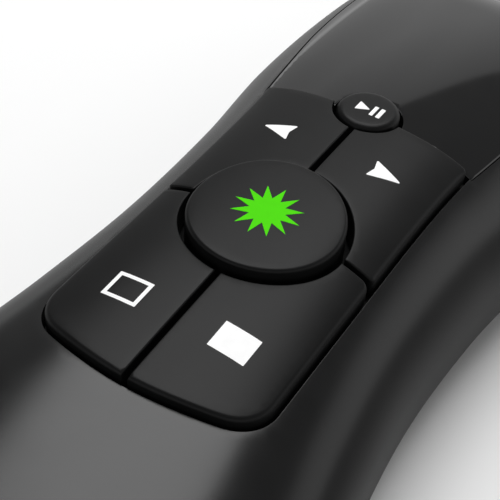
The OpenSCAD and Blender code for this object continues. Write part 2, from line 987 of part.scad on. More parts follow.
module receiver_plug() {
    color("silver") difference() {
        bar(plug_w, plug_t, grip_inner, plug_inner, 0, receiver_z);
        bar(plug_w - 2 * plug_wall, plug_t - 2 * plug_wall, grip_inner - 1, plug_inner + 1, 0, receiver_z);
        for (x = [-3, 3])
            bar(2.2, 12, plug_inner - 6.4, plug_inner - 4.2, x, receiver_z);
    }
}

module receiver_tongue() {
    color([0.15, 0.15, 0.16])
        bar(plug_w - 2 * plug_wall - 0.4, 1.6, grip_inner, plug_inner - 0.6, 0, receiver_z - 0.9);
}

module receiver_contacts() {
    color([0.85, 0.68, 0.3])
        for (x = [-3.5, -1.2, 1.2, 3.5])
            bar(1.1, 0.15, grip_inner + 2, plug_inner - 1.2, x, receiver_z - 0.025);
}

top_shell();
bottom_shell();
front_cover();
key_guide();
laser_key();
previous_key();
next_key();
screen_outline_key();
screen_solid_key();
play_key();
laser_switch_button();
previous_switch_button();
next_switch_button();
screen_outline_switch_button();
screen_solid_switch_button();
play_switch_button();
key_switches();
main_board();
controller_chip();
radio_chip();
crystal();
capacitors();
antenna();
status_led();
status_lens();
board_screws();
board_connector();
driver_board();
driver_parts();
power_switch();
power_lever();
power_slider();
laser_barrel();
laser_lens();
laser_diode();
laser_clamp();
nose_ring();
laser_window();
battery_tray();
battery_left();
battery_right();
contact_bridge();
contact_left();
contact_right();
spring_left();
spring_right();
battery_leads();
battery_door();
door_pad();
receiver_dock();
receiver_grip();
receiver_plug();
receiver_tongue();
receiver_contacts();
shell_screws();
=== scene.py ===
# A hand-held presenter with a green pointer: a waisted black handle in two moulded halves, a crowned
# keypad round one big key, a glossy front cover, two cells behind a sliding door and a plug-in receiver.
import math
import bmesh
import bpy
import numpy as np
from mathutils import Matrix, Vector
from mathutils.geometry import delaunay_2d_cdt


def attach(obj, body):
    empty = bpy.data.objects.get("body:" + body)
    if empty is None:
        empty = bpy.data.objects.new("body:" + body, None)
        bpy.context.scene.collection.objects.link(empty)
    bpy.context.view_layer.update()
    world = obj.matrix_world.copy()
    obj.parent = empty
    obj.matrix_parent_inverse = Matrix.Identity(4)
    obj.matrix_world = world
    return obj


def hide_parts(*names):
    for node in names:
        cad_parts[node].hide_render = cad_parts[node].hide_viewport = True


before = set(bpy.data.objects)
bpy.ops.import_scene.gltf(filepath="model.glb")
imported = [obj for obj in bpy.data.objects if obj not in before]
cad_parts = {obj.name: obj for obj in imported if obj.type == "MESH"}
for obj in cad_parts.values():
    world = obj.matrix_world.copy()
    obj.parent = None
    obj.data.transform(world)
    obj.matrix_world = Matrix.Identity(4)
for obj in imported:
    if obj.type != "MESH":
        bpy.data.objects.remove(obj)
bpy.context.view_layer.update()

# ---- Studio: a pale table, a soft overhead panel, a low pale surround and the camera ----
# The table is one wide sheet. It looks white to the camera and in reflections, and keeps the shadow
# of the handle, while the light that it throws back stays that of pale card. That card colour carries painted
# shade, darker towards +X on the right of the handle. To the camera the table is painted a little lighter
# towards the left. Beyond 0.16 m it glows, which is a white backdrop to the camera and a painted light in
# reflections. The surround is pale up to about 30 degrees above the horizon, with a slanted upper edge, and
# darker above it.
mm = 0.001
key_centre = Vector((0, -2, 28.5)) * mm
view_azimuth = math.radians(28.67)
view_elevation = math.radians(44.80)
view_roll = math.radians(4.58)
view_distance = 113.31 * mm
focal_px = 1143.2
image_px = 500
key_centre_px = (266.46, 217.79)

towards_camera = Vector((
    math.sin(view_azimuth) * math.cos(view_elevation),
    -math.cos(view_azimuth) * math.cos(view_elevation),
    math.sin(view_elevation)))
level_right = Vector((math.cos(view_azimuth), math.sin(view_azimuth), 0))
level_up = towards_camera.cross(level_right)
image_right = math.cos(view_roll) * level_right + math.sin(view_roll) * level_up
image_up = math.cos(view_roll) * level_up - math.sin(view_roll) * level_right
offset_x = (key_centre_px[0] - image_px / 2) * view_distance / focal_px
offset_y = (key_centre_px[1] - image_px / 2) * view_distance / focal_px

camera_data = bpy.data.cameras.new("camera")
camera_data.sensor_fit = "HORIZONTAL"
camera_data.angle = 2 * math.atan(image_px / 2 / focal_px)
camera_data.clip_start = 0.005
camera = bpy.data.objects.new("camera", camera_data)
turn = Matrix((image_right, image_up, towards_camera)).transposed().to_4x4()
camera.matrix_world = Matrix.Translation(
    key_centre + view_distance * towards_camera - offset_x * image_right + offset_y * image_up) @ turn
bpy.context.scene.collection.objects.link(camera)
bpy.context.scene.camera = camera
bpy.context.scene.view_settings.view_transform = "Standard"


def panel(name, place, aim, width, height, power, colour=(1, 1, 1)):
    """A soft rectangular lamp at place, turned towards aim."""
    data = bpy.data.lights.new(name, "AREA")
    data.shape = "RECTANGLE"
    data.size, data.size_y = width, height
    data.energy = power
    data.color = colour
    lamp = bpy.data.objects.new(name, data)
    lamp.location = place
    lamp.rotation_euler = (Vector(place) - Vector(aim)).to_track_quat("Z", "Y").to_euler()
    bpy.context.scene.collection.objects.link(lamp)
    return lamp


panel("overhead_panel", (-0.16, 0.36, 0.9), (0, 0, 0.01), 0.8, 0.75, 9.4)

def node(tree, kind, inputs=None, **settings):
    """A shader node of a kind. Each input is given a value or another node's output."""
    made = tree.nodes.new("ShaderNode" + kind)
    for name, value in settings.items():
        setattr(made, name, value)
    for socket, value in (inputs or {}).items():
        if isinstance(value, bpy.types.NodeSocket):
            tree.links.new(value, made.inputs[socket])
        else:
            made.inputs[socket].default_value = value
    return made


def computed(tree, operation, *values):
    """The output of a Math node."""
    return node(tree, "Math", dict(enumerate(values)), operation=operation).outputs[0]


def carried(tree, value, from_range, to_range):
    """A value carried from one range to another and held at its ends."""
    return node(tree, "MapRange", {
        "Value": value, "From Min": from_range[0], "From Max": from_range[1],
        "To Min": to_range[0], "To Max": to_range[1]}).outputs["Result"]


def mixed(tree, share, first, second):
    """The output of a colour mix."""
    return node(tree, "Mix", {0: share, 6: first, 7: second}, data_type="RGBA").outputs[2]


world = bpy.data.worlds.new("studio")
world.use_nodes = True
bpy.context.scene.world = world
sky = world.node_tree
heading = node(sky, "TexCoord").outputs["Generated"]
direction = node(sky, "SeparateXYZ", {0: heading})
slant = carried(sky, direction.outputs["X"], (-0.3, 0.35), (-0.066, 0.077))
band = node(sky, "ValToRGB", {"Fac": computed(sky, "ADD", direction.outputs["Z"], slant)})
band.color_ramp.elements.new(0.48)
for stop, (position, level) in zip(band.color_ramp.elements, ((0.33, 0.97), (0.48, 0.61), (0.487, 0.2))):
    stop.position = position
    stop.color = (level, level, level, 1)
open_side = carried(sky, direction.outputs["X"], (-0.9, -0.35), (0.2, 1))
dimmed = node(sky, "VectorMath", {0: band.outputs["Color"], "Scale": open_side}, operation="SCALE").outputs[0]
seen_directly = node(sky, "LightPath").outputs["Is Camera Ray"]
sky.links.new(mixed(sky, seen_directly, dimmed, (1, 1, 1, 1)), sky.nodes["Background"].inputs["Color"])

table_mesh = bpy.data.meshes.new("table")
table_mesh.from_pydata([(-3, -3, -0.0001), (3, -3, -0.0001), (3, 3, -0.0001), (-3, 3, -0.0001)], [],
                       [(0, 1, 2, 3)])
table = bpy.data.objects.new("table", table_mesh)
bpy.context.scene.collection.objects.link(table)
pale = bpy.data.materials.new("pale_card")
pale.use_nodes = True
card = pale.node_tree
card_shader = card.nodes["Principled BSDF"]
card_shader.inputs["Roughness"].default_value = 0.9
card_shader.inputs["Specular IOR Level"].default_value = 0.1
path = node(card, "LightPath").outputs
glossy = path["Is Glossy Ray"]
seen = computed(card, "MAXIMUM", path["Is Camera Ray"], path["Is Transmission Ray"])
place = node(card, "TexCoord").outputs["Object"]
sideways = node(card, "SeparateXYZ", {0: place}).outputs["X"]
# Painted shade: the card colour that bounced light and reflections see grows darker towards +X, on the right
# of the handle.
painted_shade_tone = carried(card, sideways, (-0.02, 0.06), (0.36, 0.10))
# Painted light: to the camera the table is a little lighter towards the left and greyer towards +X.
seen_painted_falloff = carried(card, sideways, (-0.05, 0.03), (0.95, 0.857))
whiteness = computed(card, "MAXIMUM", seen, computed(card, "MULTIPLY", glossy, 0.12))
card.links.new(mixed(card, whiteness, painted_shade_tone, seen_painted_falloff), card_shader.inputs["Base Color"])
# Beyond 0.16 m the table glows: to the camera this is a white backdrop, and in reflections it is painted
# light.
reach = node(card, "VectorMath", {0: place}, operation="LENGTH").outputs["Value"]
fade = carried(card, reach, (0.16, 0.45), (0.0, 1.0))
backdrop_and_painted_glow = computed(card, "MULTIPLY_ADD", glossy, 0.6, seen)
card_shader.inputs["Emission Color"].default_value = (1, 1, 1, 1)
card.links.new(computed(card, "MULTIPLY", backdrop_and_painted_glow, fade), card_shader.inputs["Emission Strength"])
table_mesh.materials.append(pale)

# ---- Casing, upper half ----
# Injection-moulded satin black shell, 2.2 mm thick, that carries the keypad well, the recess of the
# front cover, the bay of the receiver and the hole of the beam. It closes on the lower half at 5 mm.
half_length = 65.0
wall = 2.2
parting_z = 5.0
key_y = -2.0
key_z = 28.5
key_step = 1.0
profile_r = 580.0
sole_sink = 0.35
upper_power = 2.6
lower_power = 2.4
tail_start = -40
nose_start = 51
width_stations = [
    (-65, 21.5), (-46, 23.1), (-30, 22.45), (-16, 20.45), (-2, 19.3),
    (14, 19.85), (30, 21.7), (46, 21.65), (65, 19.4)]
waist_stations = [(-65, 13.5), (-40, 11.8), (-2, 10), (35, 8), (65, 9)]
seam_stations = [(15, 12.4), (19, 13.15), (28, 14.4), (37, 15.55), (47, 15.8), (64, 14)]


def along(stations, y):
    """Smooth value at y between stations of (place, value)."""
    i = 0
    while i < len(stations) - 2 and y >= stations[i + 1][0]:
        i += 1
    slopes = [(b[1] - a[1]) / (b[0] - a[0]) for a, b in zip(stations, stations[1:])]
    tangents = [slopes[0]] + [(a + b) / 2 for a, b in zip(slopes, slopes[1:])] + [slopes[-1]]
    (y0, v0), (y1, v1) = stations[i], stations[i + 1]
    h = y1 - y0
    t = min(max((y - y0) / h, 0), 1)
    return ((2 * t ** 3 - 3 * t ** 2 + 1) * v0 + (t ** 3 - 2 * t ** 2 + t) * h * tangents[i]
            + (3 * t ** 2 - 2 * t ** 3) * v1 + (t ** 3 - t ** 2) * h * tangents[i + 1])


def part_way(y, start, end):
    return min(max((y - start) / (end - start), 0), 1)


def rounding(t, size, power=2.4):
    """Shrinks a section towards an end: 1 at t = 0, size at t = 1."""
    return max(1 - (1 - size ** power) * t ** power, 0) ** (1 / power)


def end_scale(y, inset):
    tail = rounding(part_way(y, tail_start, -half_length + inset), 0.42)
    nose = rounding(part_way(y, nose_start, half_length - inset), 0.5)
    return tail * nose


def crest(y):
    return key_z - key_step - (y - key_y) ** 2 / (2 * profile_r)


def girth(y, inset):
    """Half width, height of the widest line, and the heights above and below it."""
    scale = end_scale(y, inset)
    waist = along(waist_stations, y)
    return ((along(width_stations, y) - inset) * scale, waist,
            (crest(y) - inset - waist) * scale, (waist + sole_sink - inset) * scale)


def side_point(angle, y, inset=0.0):
    """A point of the handle's skin: angle 0 on the right, a quarter turn on the crest."""
    half, waist, upper, lower = girth(y, inset)
    c, s = math.cos(angle), math.sin(angle)
    power = upper_power if s > 0 else lower_power
    n = (abs(c) ** power + abs(s) ** power) ** (1 / power)
    return (half * c / n, y, waist + (upper if s > 0 else lower) * s / n)


def over(x, y, inset=0.0):
    """Height of the skin above a place in plan."""
    half, waist, upper, lower = girth(y, inset)
    return waist + upper * max(1 - min(abs(x) / half, 1) ** upper_power, 0) ** (1 / upper_power)


def under(x, y, inset=0.0):
    """Height of the skin below a place in plan, with the flat land on the sole."""
    half, waist, upper, lower = girth(y, inset)
    low = waist - lower * max(1 - min(abs(x) / half, 1) ** lower_power, 0) ** (1 / lower_power)
    return max(low, 0 if inset == 0 else -1)


def angle_over(x, y, inset=0.0):
    """Angle of the skin above a place in plan."""
    half = girth(y, inset)[0]
    ratio = min(max(x / half, -1), 1)
    return math.atan2((1 - abs(ratio) ** upper_power) ** (1 / upper_power), ratio)


def parting_angle(y, inset=0.0):
    """Angle on the right at which the skin crosses the parting plane, down to a quarter turn below."""
    half, waist, upper, lower = girth(y, inset)
    ratio = (waist - parting_z) / lower
    if ratio >= 1:
        return -math.pi / 2
    return -math.atan2(ratio, (1 - ratio ** lower_power) ** (1 / lower_power))


def inside(points, outlines):
    """Which points lie inside the outlines, a hole's outline taken out."""
    p = np.asarray(points, float)
    odd = np.zeros(len(p), bool)
    for line in outlines:
        for (x0, y0), (x1, y1) in zip(line, line[1:] + line[:1]):
            if y0 != y1:
                odd ^= ((y0 > p[:, 1]) != (y1 > p[:, 1])) & (p[:,
                        0] < x0 + (p[:, 1] - y0) * (x1 - x0) / (y1 - y0))
    return odd


def filled(outlines, spares, clear):
    """Triangles over the area inside the outlines, which also use the spare points at least clear of them.
    Returns the points, the outlines' own first, and the triangles, counter-clockwise in plan."""
    border = [p for line in outlines for p in line]
    keep = inside(spares, outlines)
    spare = np.asarray(spares, float)
    edges, start = [], 0
    for line in outlines:
        edges += [(start + i, start + (i + 1) % len(line)) for i in range(len(line))]
        start += len(line)
    for i, j in edges:
        a, b = np.array(border[i]), np.array(border[j])
        way = np.clip((spare - a) @ (b - a) / ((b - a) @ (b - a)), 0, 1)
        keep &= ((spare - a - way[:, None] * (b - a)) ** 2).sum(axis=1) > clear ** 2
    points = [Vector(p) for p in border] + [Vector(p) for p in spare[keep]]
    laid, _, faces, _, _, _ = delaunay_2d_cdt(points, edges, [], 0, 1e-7, False)
    laid = [(v.x, v.y) for v in laid]
    fences = {frozenset(e) for e in edges}
    beside = {}
    for number, (i, j, k) in enumerate(faces):
        for side in (frozenset((i, j)), frozenset((j, k)), frozenset((k, i))):
            if side not in fences:
                beside.setdefault(side, []).append(number)
    next_to = [[] for _ in faces]
    for pair in beside.values():
        if len(pair) == 2:
            next_to[pair[0]].append(pair[1])
            next_to[pair[1]].append(pair[0])
    corners = np.array(laid)[np.array(faces)]
    u, v = corners[:, 1] - corners[:, 0], corners[:, 2] - corners[:, 0]
    areas = u[:, 0] * v[:, 1] - u[:, 1] * v[:, 0]
    covered = inside(corners.mean(axis=1), outlines)
    kept, met = [], [False] * len(faces)
    for start in range(len(faces)):
        if met[start]:
            continue
        met[start] = True
        field = [start]
        for number in field:
            for other in next_to[number]:
                if not met[other]:
                    met[other] = True
                    field.append(other)
        widest = max(field, key=lambda number: areas[number])
        if covered[widest] and areas[widest] > 1e-4:
            kept += [faces[number] for number in field]
    return laid, kept


def face_outward(work):
    """Turns each closed shell of a mesh whose faces agree with each other, so that they look outward."""
    left = set(work.faces)
    while left:
        shell = [left.pop()]
        for face in shell:
            for edge in face.edges:
                for other in edge.link_faces:
                    if other in left:
                        left.remove(other)
                        shell.append(other)
        volume = sum(f.verts[0].co.dot(a.co.cross(b.co)) for f in shell for a,
                     b in zip(f.verts[1:], f.verts[2:]))
        if volume < 0:
            bmesh.ops.reverse_faces(work, faces=shell)


class Body:
    """Gathers the patches of one moulding, in millimetres, and makes it a closed mesh object."""

    def __init__(self):
        self.points, self.faces = [], []

    def patch(self, points, faces):
        base = len(self.points)
        self.points += points
        self.faces += [[base + i for i in f] for f in faces]

    def bridge(self, rings, closed=True):
        """A wall between rings of equal count, each a closed or an open run of points."""
        n = len(rings[0])
        assert all(len(ring) == n for ring in rings), [len(ring) for ring in rings]
        faces = [[r * n + i, r * n + (i + 1) % n, (r + 1) * n + (i + 1) % n, (r + 1) * n + i]
                 for r in range(len(rings) - 1) for i in range(n if closed else n - 1)]
        self.patch([p for ring in rings for p in ring], faces)

    def rod(self, profile, place=(0, 0, 0), turn=None, sides=48):
        """A turned solid from its profile of (radius, height), from the axis to the axis."""
        turn = turn or Matrix.Identity(3)
        rings = []
        for radius, height in profile:
            rings.append([
                tuple(turn @ Vector((radius * math.cos(2 * math.pi * k / sides),
                                     radius * math.sin(2 * math.pi * k / sides), height)) + Vector(place))
                for k in range(sides)])
        self.bridge(rings)

    def block(self, low, high, bevel=0.15):
        """A box between two corners, its edges taken off."""
        shape = bmesh.new()
        bmesh.ops.create_cube(shape, size=1)
        for v in shape.verts:
            v.co = Vector([(a + b) / 2 + c * (b - a) for a, b, c in zip(low, high, v.co)])
        bmesh.ops.bevel(shape, geom=shape.edges[:], offset=bevel, segments=2, profile=0.5, affect="EDGES")
        shape.verts.index_update()
        self.patch([tuple(v.co) for v in shape.verts], [[v.index for v in f.verts] for f in shape.faces])
        shape.free()

    def mesh(self, name, angle=40):
        mesh = bpy.data.meshes.new(name)
        mesh.from_pydata([(x * mm, y * mm, z * mm) for x, y, z in self.points], [], self.faces)
        work = bmesh.new()
        work.from_mesh(mesh)
        bmesh.ops.remove_doubles(work, verts=work.verts, dist=2e-7)
        bmesh.ops.recalc_face_normals(work, faces=work.faces)
        face_outward(work)
        work.to_mesh(mesh)
        work.free()
        mesh.polygons.foreach_set("use_smooth", [True] * len(mesh.polygons))
        mesh.set_sharp_from_angle(angle=math.radians(angle))
        return mesh

    def made(self, name, body, finish, slot, *nodes, angle=40):
        """The finished object, riding on a body in place of the CAD nodes."""
        return placed(self.mesh(name, angle), name, body, finish, slot, *nodes)


def placed(mesh, name, body, finish, slot, *nodes):
    piece = bpy.data.objects.new(name, mesh)
    bpy.context.scene.collection.objects.link(piece)
    if not mesh.materials:
        mesh.materials.append(finish)
    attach(piece, body)
    if nodes:
        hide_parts(*nodes)
    return piece


def evenly(start, end, step):
    """Values from start to end, both taken, about step apart."""
    count = max(1, round(abs(end - start) / step))
    return [start + (end - start) * i / count for i in range(count + 1)]


# Outlines in plan, right half first, each run counter-clockwise from the rear
key_half = 12.15
key_front_half = 12.75
keypad_front = 19.65
keypad_back = -25.7
back_arc = 30.0
corner_r = 4.4
cover_edge = 20.0
tip_start = 50
tip_end = 63
key_gap = 0.35


def side_x(y):
    """Half width of the keypad, wider towards the cover."""
    return key_half + (key_front_half - key_half) * max((y - key_y) / (keypad_front - key_y), 0) ** 3


def keypad_side(margin, front):
    """Right edge of the keypad from the middle of its rear edge up to y = front."""
    corner_x, corner_y = key_half - corner_r, keypad_back + corner_r + 1.2
    rear = [(x, keypad_back - margin + x * x / (2 * back_arc)) for x in evenly(0, corner_x + 0.6, 0.7)]
    turn = [(corner_x + (corner_r + margin) * math.cos(a), corner_y + (corner_r + margin) * math.sin(a))
            for a in evenly(math.radians(-73), 0, math.radians(6))]
    flank = [(side_x(y) + margin, y) for y in evenly(corner_y, front, 0.9)[1:]]
    return rear + turn + flank


def cover_side(margin, back):
    """Right edge of the front cover from y = back to the middle of its tip."""
    sides = [(along(seam_stations, y) + margin, y) for y in evenly(back, tip_start, 0.91)]
    tip = []
    for a in evenly(0, math.pi / 2, math.radians(3))[1:]:
        y = tip_start + (tip_end - tip_start + margin) * math.sin(a)
        tip.append(((along(seam_stations, y) + margin) * rounding(math.sin(a), 0), y))
    return sides + tip


def mirrored(right):
    """Closed outline from its right half, whose two ends lie on the middle line."""
    return right + [(-x, y) for x, y in reversed(right[1:-1])]


def opening(extra):
    """Hole of the upper half: the keypad well, then the recess of the cover."""
    right = keypad_side(key_gap + extra, cover_edge - 0.1 - extra) + cover_side(0.1 + extra,
                                                                                cover_edge - 0.1 - extra)
    right[-1] = (0.0, right[-1][1])
    return mirrored(right)


ledge_start, ledge_end, ledge_depth = 56.0, 60.9, 1.4


def inner_opening():
    """The hole at the inner skin. Its tip ends short of the nose wall and leaves a ledge under the cover."""
    outline = opening(0)
    reach = (ledge_end - ledge_start) / (max(y for _, y in outline) - ledge_start)
    return [(x, y if y < ledge_start else ledge_start + (y - ledge_start) * reach) for x, y in outline]


def begun(name):
    """A new finish: the material, its node tree, its shader and the object coordinates."""
    finish = bpy.data.materials.new(name)
    finish.use_nodes = True
    tree = finish.node_tree
    return finish, tree, tree.nodes["Principled BSDF"], node(tree, "TexCoord").outputs["Object"]


def noise(tree, place, scale, detail=2.0):
    return node(tree, "TexNoise", {"Vector": place, "Scale": scale, "Detail": detail}).outputs["Fac"]


def shaded(tree, shader, pattern, low, high, stops):
    """The base colour runs between two colours with a pattern."""
    ramp = node(tree, "ValToRGB", {"Fac": pattern})
    for element, position, colour in zip(ramp.color_ramp.elements, stops, (low, high)):
        element.position = position
        element.color = (*colour, 1)
    tree.links.new(ramp.outputs["Color"], shader.inputs["Base Color"])


def worn(tree, shader, pattern, low, high):
    """The roughness runs between two values with a pattern."""
    tree.links.new(carried(tree, pattern, (0, 1), (low, high)), shader.inputs["Roughness"])


def raised(tree, shader, pattern, depth):
    """Relief of a depth in millimetres."""
    bump = node(tree, "Bump", {"Height": pattern, "Distance": depth * mm})
    tree.links.new(bump.outputs["Normal"], shader.inputs["Normal"])


def plastic(name, colour, roughness, grain, depth, mottling=0.12, patch=220, specular=0.5):
    """Moulded plastic: a colour that varies a little, and a fine grain left by the tool's etched face."""
    finish, tree, shader, place = begun(name)
    shader.inputs["IOR"].default_value = 1.5
    shader.inputs["Specular IOR Level"].default_value = specular
    flow = noise(tree, place, patch, 3)
    shaded(tree, shader, flow, [c * (1 - mottling) for c in colour], [c * (1 + mottling) for c in colour],
           (0.3, 0.7))
    worn(tree, shader, flow, roughness - 0.03, roughness + 0.03)
    raised(tree, shader, noise(tree, place, grain), depth)
    return finish


casing_black = plastic("casing_black", (0.006, 0.0061, 0.0062), 0.24, 6500, 0.0015, specular=0.35)

domain_r = 16.0


def parting_end(y, inset):
    """Where the parting line ends, going from y towards the middle: y itself if the skin is open there."""
    if parting_angle(y, inset) > -math.pi / 2:
        return y
    shut, open_y = y, 0.0
    for _ in range(50):
        middle = (shut + open_y) / 2
        if parting_angle(middle, inset) > -math.pi / 2:
            open_y = middle
        else:
            shut = middle
    return open_y


def crowding(meet, end):
    """Rows that crowd towards the place where the two sides of the parting line meet."""
    if meet == end:
        return [meet]
    return [meet - math.copysign(4, meet) * t ** 3 for t in evenly(0, 1, 0.06)]


def skin(body, inset, tail_y, nose_y, hole):
    """One skin of the upper half, with the hole in it.
    Returns its parting line from nose to tail, and its end rings."""
    tail_meet, nose_meet = parting_end(tail_y, inset), parting_end(nose_y, inset)
    shut = [y for y, end in ((tail_meet, tail_y), (nose_meet, nose_y)) if y != end]
    rows = ([tail_y + (tail_start - tail_y) * (1 - math.cos(a)) for a in evenly(0, math.pi / 2, 0.05)]
            + evenly(tail_start, nose_start, 0.9)[1:-1]
            + [nose_start + (nose_y - nose_start) * math.sin(a) for a in evenly(0, math.pi / 2, 0.05)])
    tail_rows, nose_rows = crowding(tail_meet, tail_y), crowding(nose_meet, nose_y)
    between = [y for y in rows if tail_rows[-1] + 0.4 < y < nose_rows[-1] - 0.4]
    open_rows = tail_rows + between + nose_rows[::-1]
    line = [(-math.pi / 2 if y in shut else parting_angle(y, inset), y) for y in reversed(open_rows)]
    right = ([(-math.pi / 2, y) for y in reversed(rows) if y > nose_meet + 0.2] + line
             + [(-math.pi / 2, y) for y in reversed(rows) if y < tail_meet - 0.2])
    left = [(math.pi - a, y) for a, y in reversed(right)]
    tail = [(a, tail_y) for a in evenly(right[-1][0], left[0][0], 0.06)]
    nose = [(a, nose_y) for a in evenly(right[0][0], left[-1][0], 0.06)]
    border = [(a * domain_r, y) for a, y in right + tail[1:-1] + left + nose[::-1][1:-1]]
    cut = [(angle_over(x, y, inset) * domain_r, y) for x, y in hole]
    spares = [(a * domain_r, y) for y in rows for a in evenly(-math.pi / 2, 1.5 * math.pi, 0.05)]
    laid, faces = filled([border, cut], spares, 0.35)
    body.patch([side_point(u / domain_r, y, inset) for u, y in laid], faces)
    return ([side_point(a, y, inset) for a, y in line],
            [side_point(a, y, inset) for a, y in tail], [side_point(a, y, inset) for a, y in nose])


def end_rings(ring, end_y, anchor_z, soft):
    """Rings that turn the skin round into a flat end face, drawn in towards anchor_z."""
    rings = [ring]
    for a in (0.35, 0.8, 1.2, math.pi / 2):
        shrink = 1 - soft * (1 - math.cos(a)) / 9
        y = end_y - math.copysign(soft * (1 - math.sin(a)), end_y)
        rings.append([(x * shrink, y, anchor_z + (z - anchor_z) * shrink) for x, _, z in ring])
    return rings


def rounded_bar(half_x, half_y, r, centre=(0, 0)):
    """Counter-clockwise outline of a rectangle with round corners."""
    corners = ((half_x - r, -half_y + r, -90), (half_x - r, half_y - r, 0),
               (-half_x + r, half_y - r, 90), (-half_x + r, -half_y + r, 180))
    return [(centre[0] + cx + r * math.cos(math.radians(a0 + a)),
             centre[1] + cy + r * math.sin(math.radians(a0 + a)))
            for cx, cy, a0 in corners for a in (0, 18, 36, 54, 72, 90)]


def circle(r, centre=(0, 0), step=0.12):
    """Counter-clockwise circle."""
    return [(centre[0] + r * math.cos(a), centre[1] + r * math.sin(a)) for a in evenly(0, 2 * math.pi,
                                                                                       step)[:-1]]


beam_z = 10.5
receiver_z = 12.9
end_soft = 0.35
rim_soft = 0.06
upper = Body()
parting, tail_ring, nose_ring = skin(upper, 0, -half_length + end_soft, half_length - end_soft,
                                     opening(rim_soft))
rim_rings = [[(x, y, over(x, y) - rim_soft * (1 - math.sin(a))) for x,
              y in opening(rim_soft * (1 - math.cos(a)))]
             for a in (math.pi / 2, 1.2, 0.8, 0.4, 0)]
rim_rings.append([(x, y, over(x, y) - ledge_depth) for x, y in opening(0)])
rim_rings.append([(x, y, over(x, y) - ledge_depth - 0.05) for x, y in inner_opening()])
rim_rings.append([(x, y, over(x, y, wall)) for x, y in inner_opening()])
upper.bridge(rim_rings)
inner_tail_y = -half_length + wall + 1.5
inner_nose_y = half_length - wall - 1.3
inner_parting, inner_tail, inner_nose = skin(upper, wall, inner_tail_y, inner_nose_y, inner_opening())
tail_rings = end_rings(tail_ring, -half_length, 13.5, end_soft)
nose_rings = end_rings(nose_ring, half_length, parting_z, end_soft)
upper.bridge(tail_rings)
upper.bridge(nose_rings, closed=False)
for outer_ring, inner_ring, outer_y, inner_y, bore in (
        (tail_rings[-1], inner_tail, -half_length, inner_tail_y,
         rounded_bar(6.75, 3.25, 0.8, (0, receiver_z))),
        (nose_rings[-1], inner_nose, half_length, inner_nose_y, circle(4.75, (0, beam_z)))):
    for ring, y in ((outer_ring, outer_y), (inner_ring, inner_y)):
        flat = [(x, z) for x, _, z in ring]
        if math.dist(flat[0], flat[-1]) < 1e-6:
            flat = flat[:-1]
        laid, faces = filled([flat, bore], [(0, -99)], 0.1)
        upper.patch([(x, y, z) for x, z in laid], faces)
    upper.bridge([[(x, y, z) for x, z in bore] for y in (outer_y, inner_y)])
parting_right = [ring[0] for ring in nose_rings[:0:-1]] + parting
outer_line, inner_line = (
    [(x, y) for x, y, _ in run] + [(-x, y) for x, y, _ in reversed(run) if x > 1e-6]
    for run in (parting_right, inner_parting))
laid, faces = filled([outer_line, inner_line], [(0, -99)], 0.1)
upper.patch([(x, y, parting_z) for x, y in laid], faces)
for x, y in ((16.6, -33), (-16.6, -33), (12, 40), (-12, 40)):
    top = over(abs(x) + 2.6, y, wall) + 0.3
    upper.rod([(1.1, parting_z + 0.1), (2.6, parting_z + 0.1), (2.6, top), (1.1, top),
               (1.1, parting_z + 0.1)], (x, y, 0), sides=32)
upper.made("upper_casing", "root", casing_black, "casing", "top_shell")

# ---- Casing, lower half ----
# The shallow tray of the handle in the same satin black. It has a flat land to rest on, the opening
# and rails of the battery door, the slot of the power slider and four bosses for the shell screws.
door_half = 12.3
door_gap = 0.15
door_front = 6.6
tongue = (3.1, 4.3)


def moved(line, distances):
    """The outline with each point moved to the left of its run, corners kept."""
    result = []
    for i, (x, y) in enumerate(line):
        ax, ay = x - line[i - 1][0], y - line[i - 1][1]
        bx, by = line[(i + 1) % len(line)][0] - x, line[(i + 1) % len(line)][1] - y
        la, lb = math.hypot(ax, ay), math.hypot(bx, by)
        nx, ny = -ay / la - by / lb, ax / la + bx / lb
        reach = min(2 * distances[i] / (nx * nx + ny * ny), 1.5 * distances[i])
        result.append((x + nx * reach, y + ny * reach))
    return result


def moulded(body, outlines, top, bottom, edge, step=0.8, back_step=2.5):
    """A plate between two heights in plan, its face on the top side rounded along the outlines by edge,
    a size or a rule in plan. Outer outlines run counter-clockwise and holes clockwise."""
    def heights(line, rule):
        return [(x, y, rule(x, y)) for x, y in line]

    def grid(gap):
        xs, ys = [x for x, _ in outlines[0]], [y for _, y in outlines[0]]
        rows = evenly(min(ys), max(ys), gap * 0.87)
        return [(x + gap / 2 * (n % 2), y) for n, y in enumerate(rows) for x in evenly(min(xs), max(xs), gap)]

    sense = 1 if sum(top(x, y) - bottom(x, y) for x, y in outlines[0]) > 0 else -1
    faces_in = []
    for line in outlines:
        sizes = [edge(x, y) if callable(edge) else edge for x, y in line]
        rings = []
        for a in evenly(math.pi / 2, 0, 0.32):
            shifted = moved(line, [r * (1 - math.cos(a)) for r in sizes])
            rings.append([(x, y, top(x, y) - sense * r * (1 - math.sin(a))) for (x, y),
                          r in zip(shifted, sizes)])
        faces_in.append([(x, y) for x, y, _ in rings[0]])
        rings.append(heights(line, bottom))
        body.bridge(rings)
    for lines, gap, rule in ((faces_in, step, top), (outlines, back_step, bottom)):
        laid, faces = filled(lines, grid(gap), gap * 0.45)
        body.patch(heights(laid, rule), faces)


def parting_x(y):
    return side_point(parting_angle(y), y)[0]


def place_where(rule, low, high):
    """Where a rule changes sign between two places."""
    for _ in range(60):
        middle = (low + high) / 2
        if (rule(low) > 0) == (rule(middle) > 0):
            low = middle
        else:
            high = middle
    return (low + high) / 2


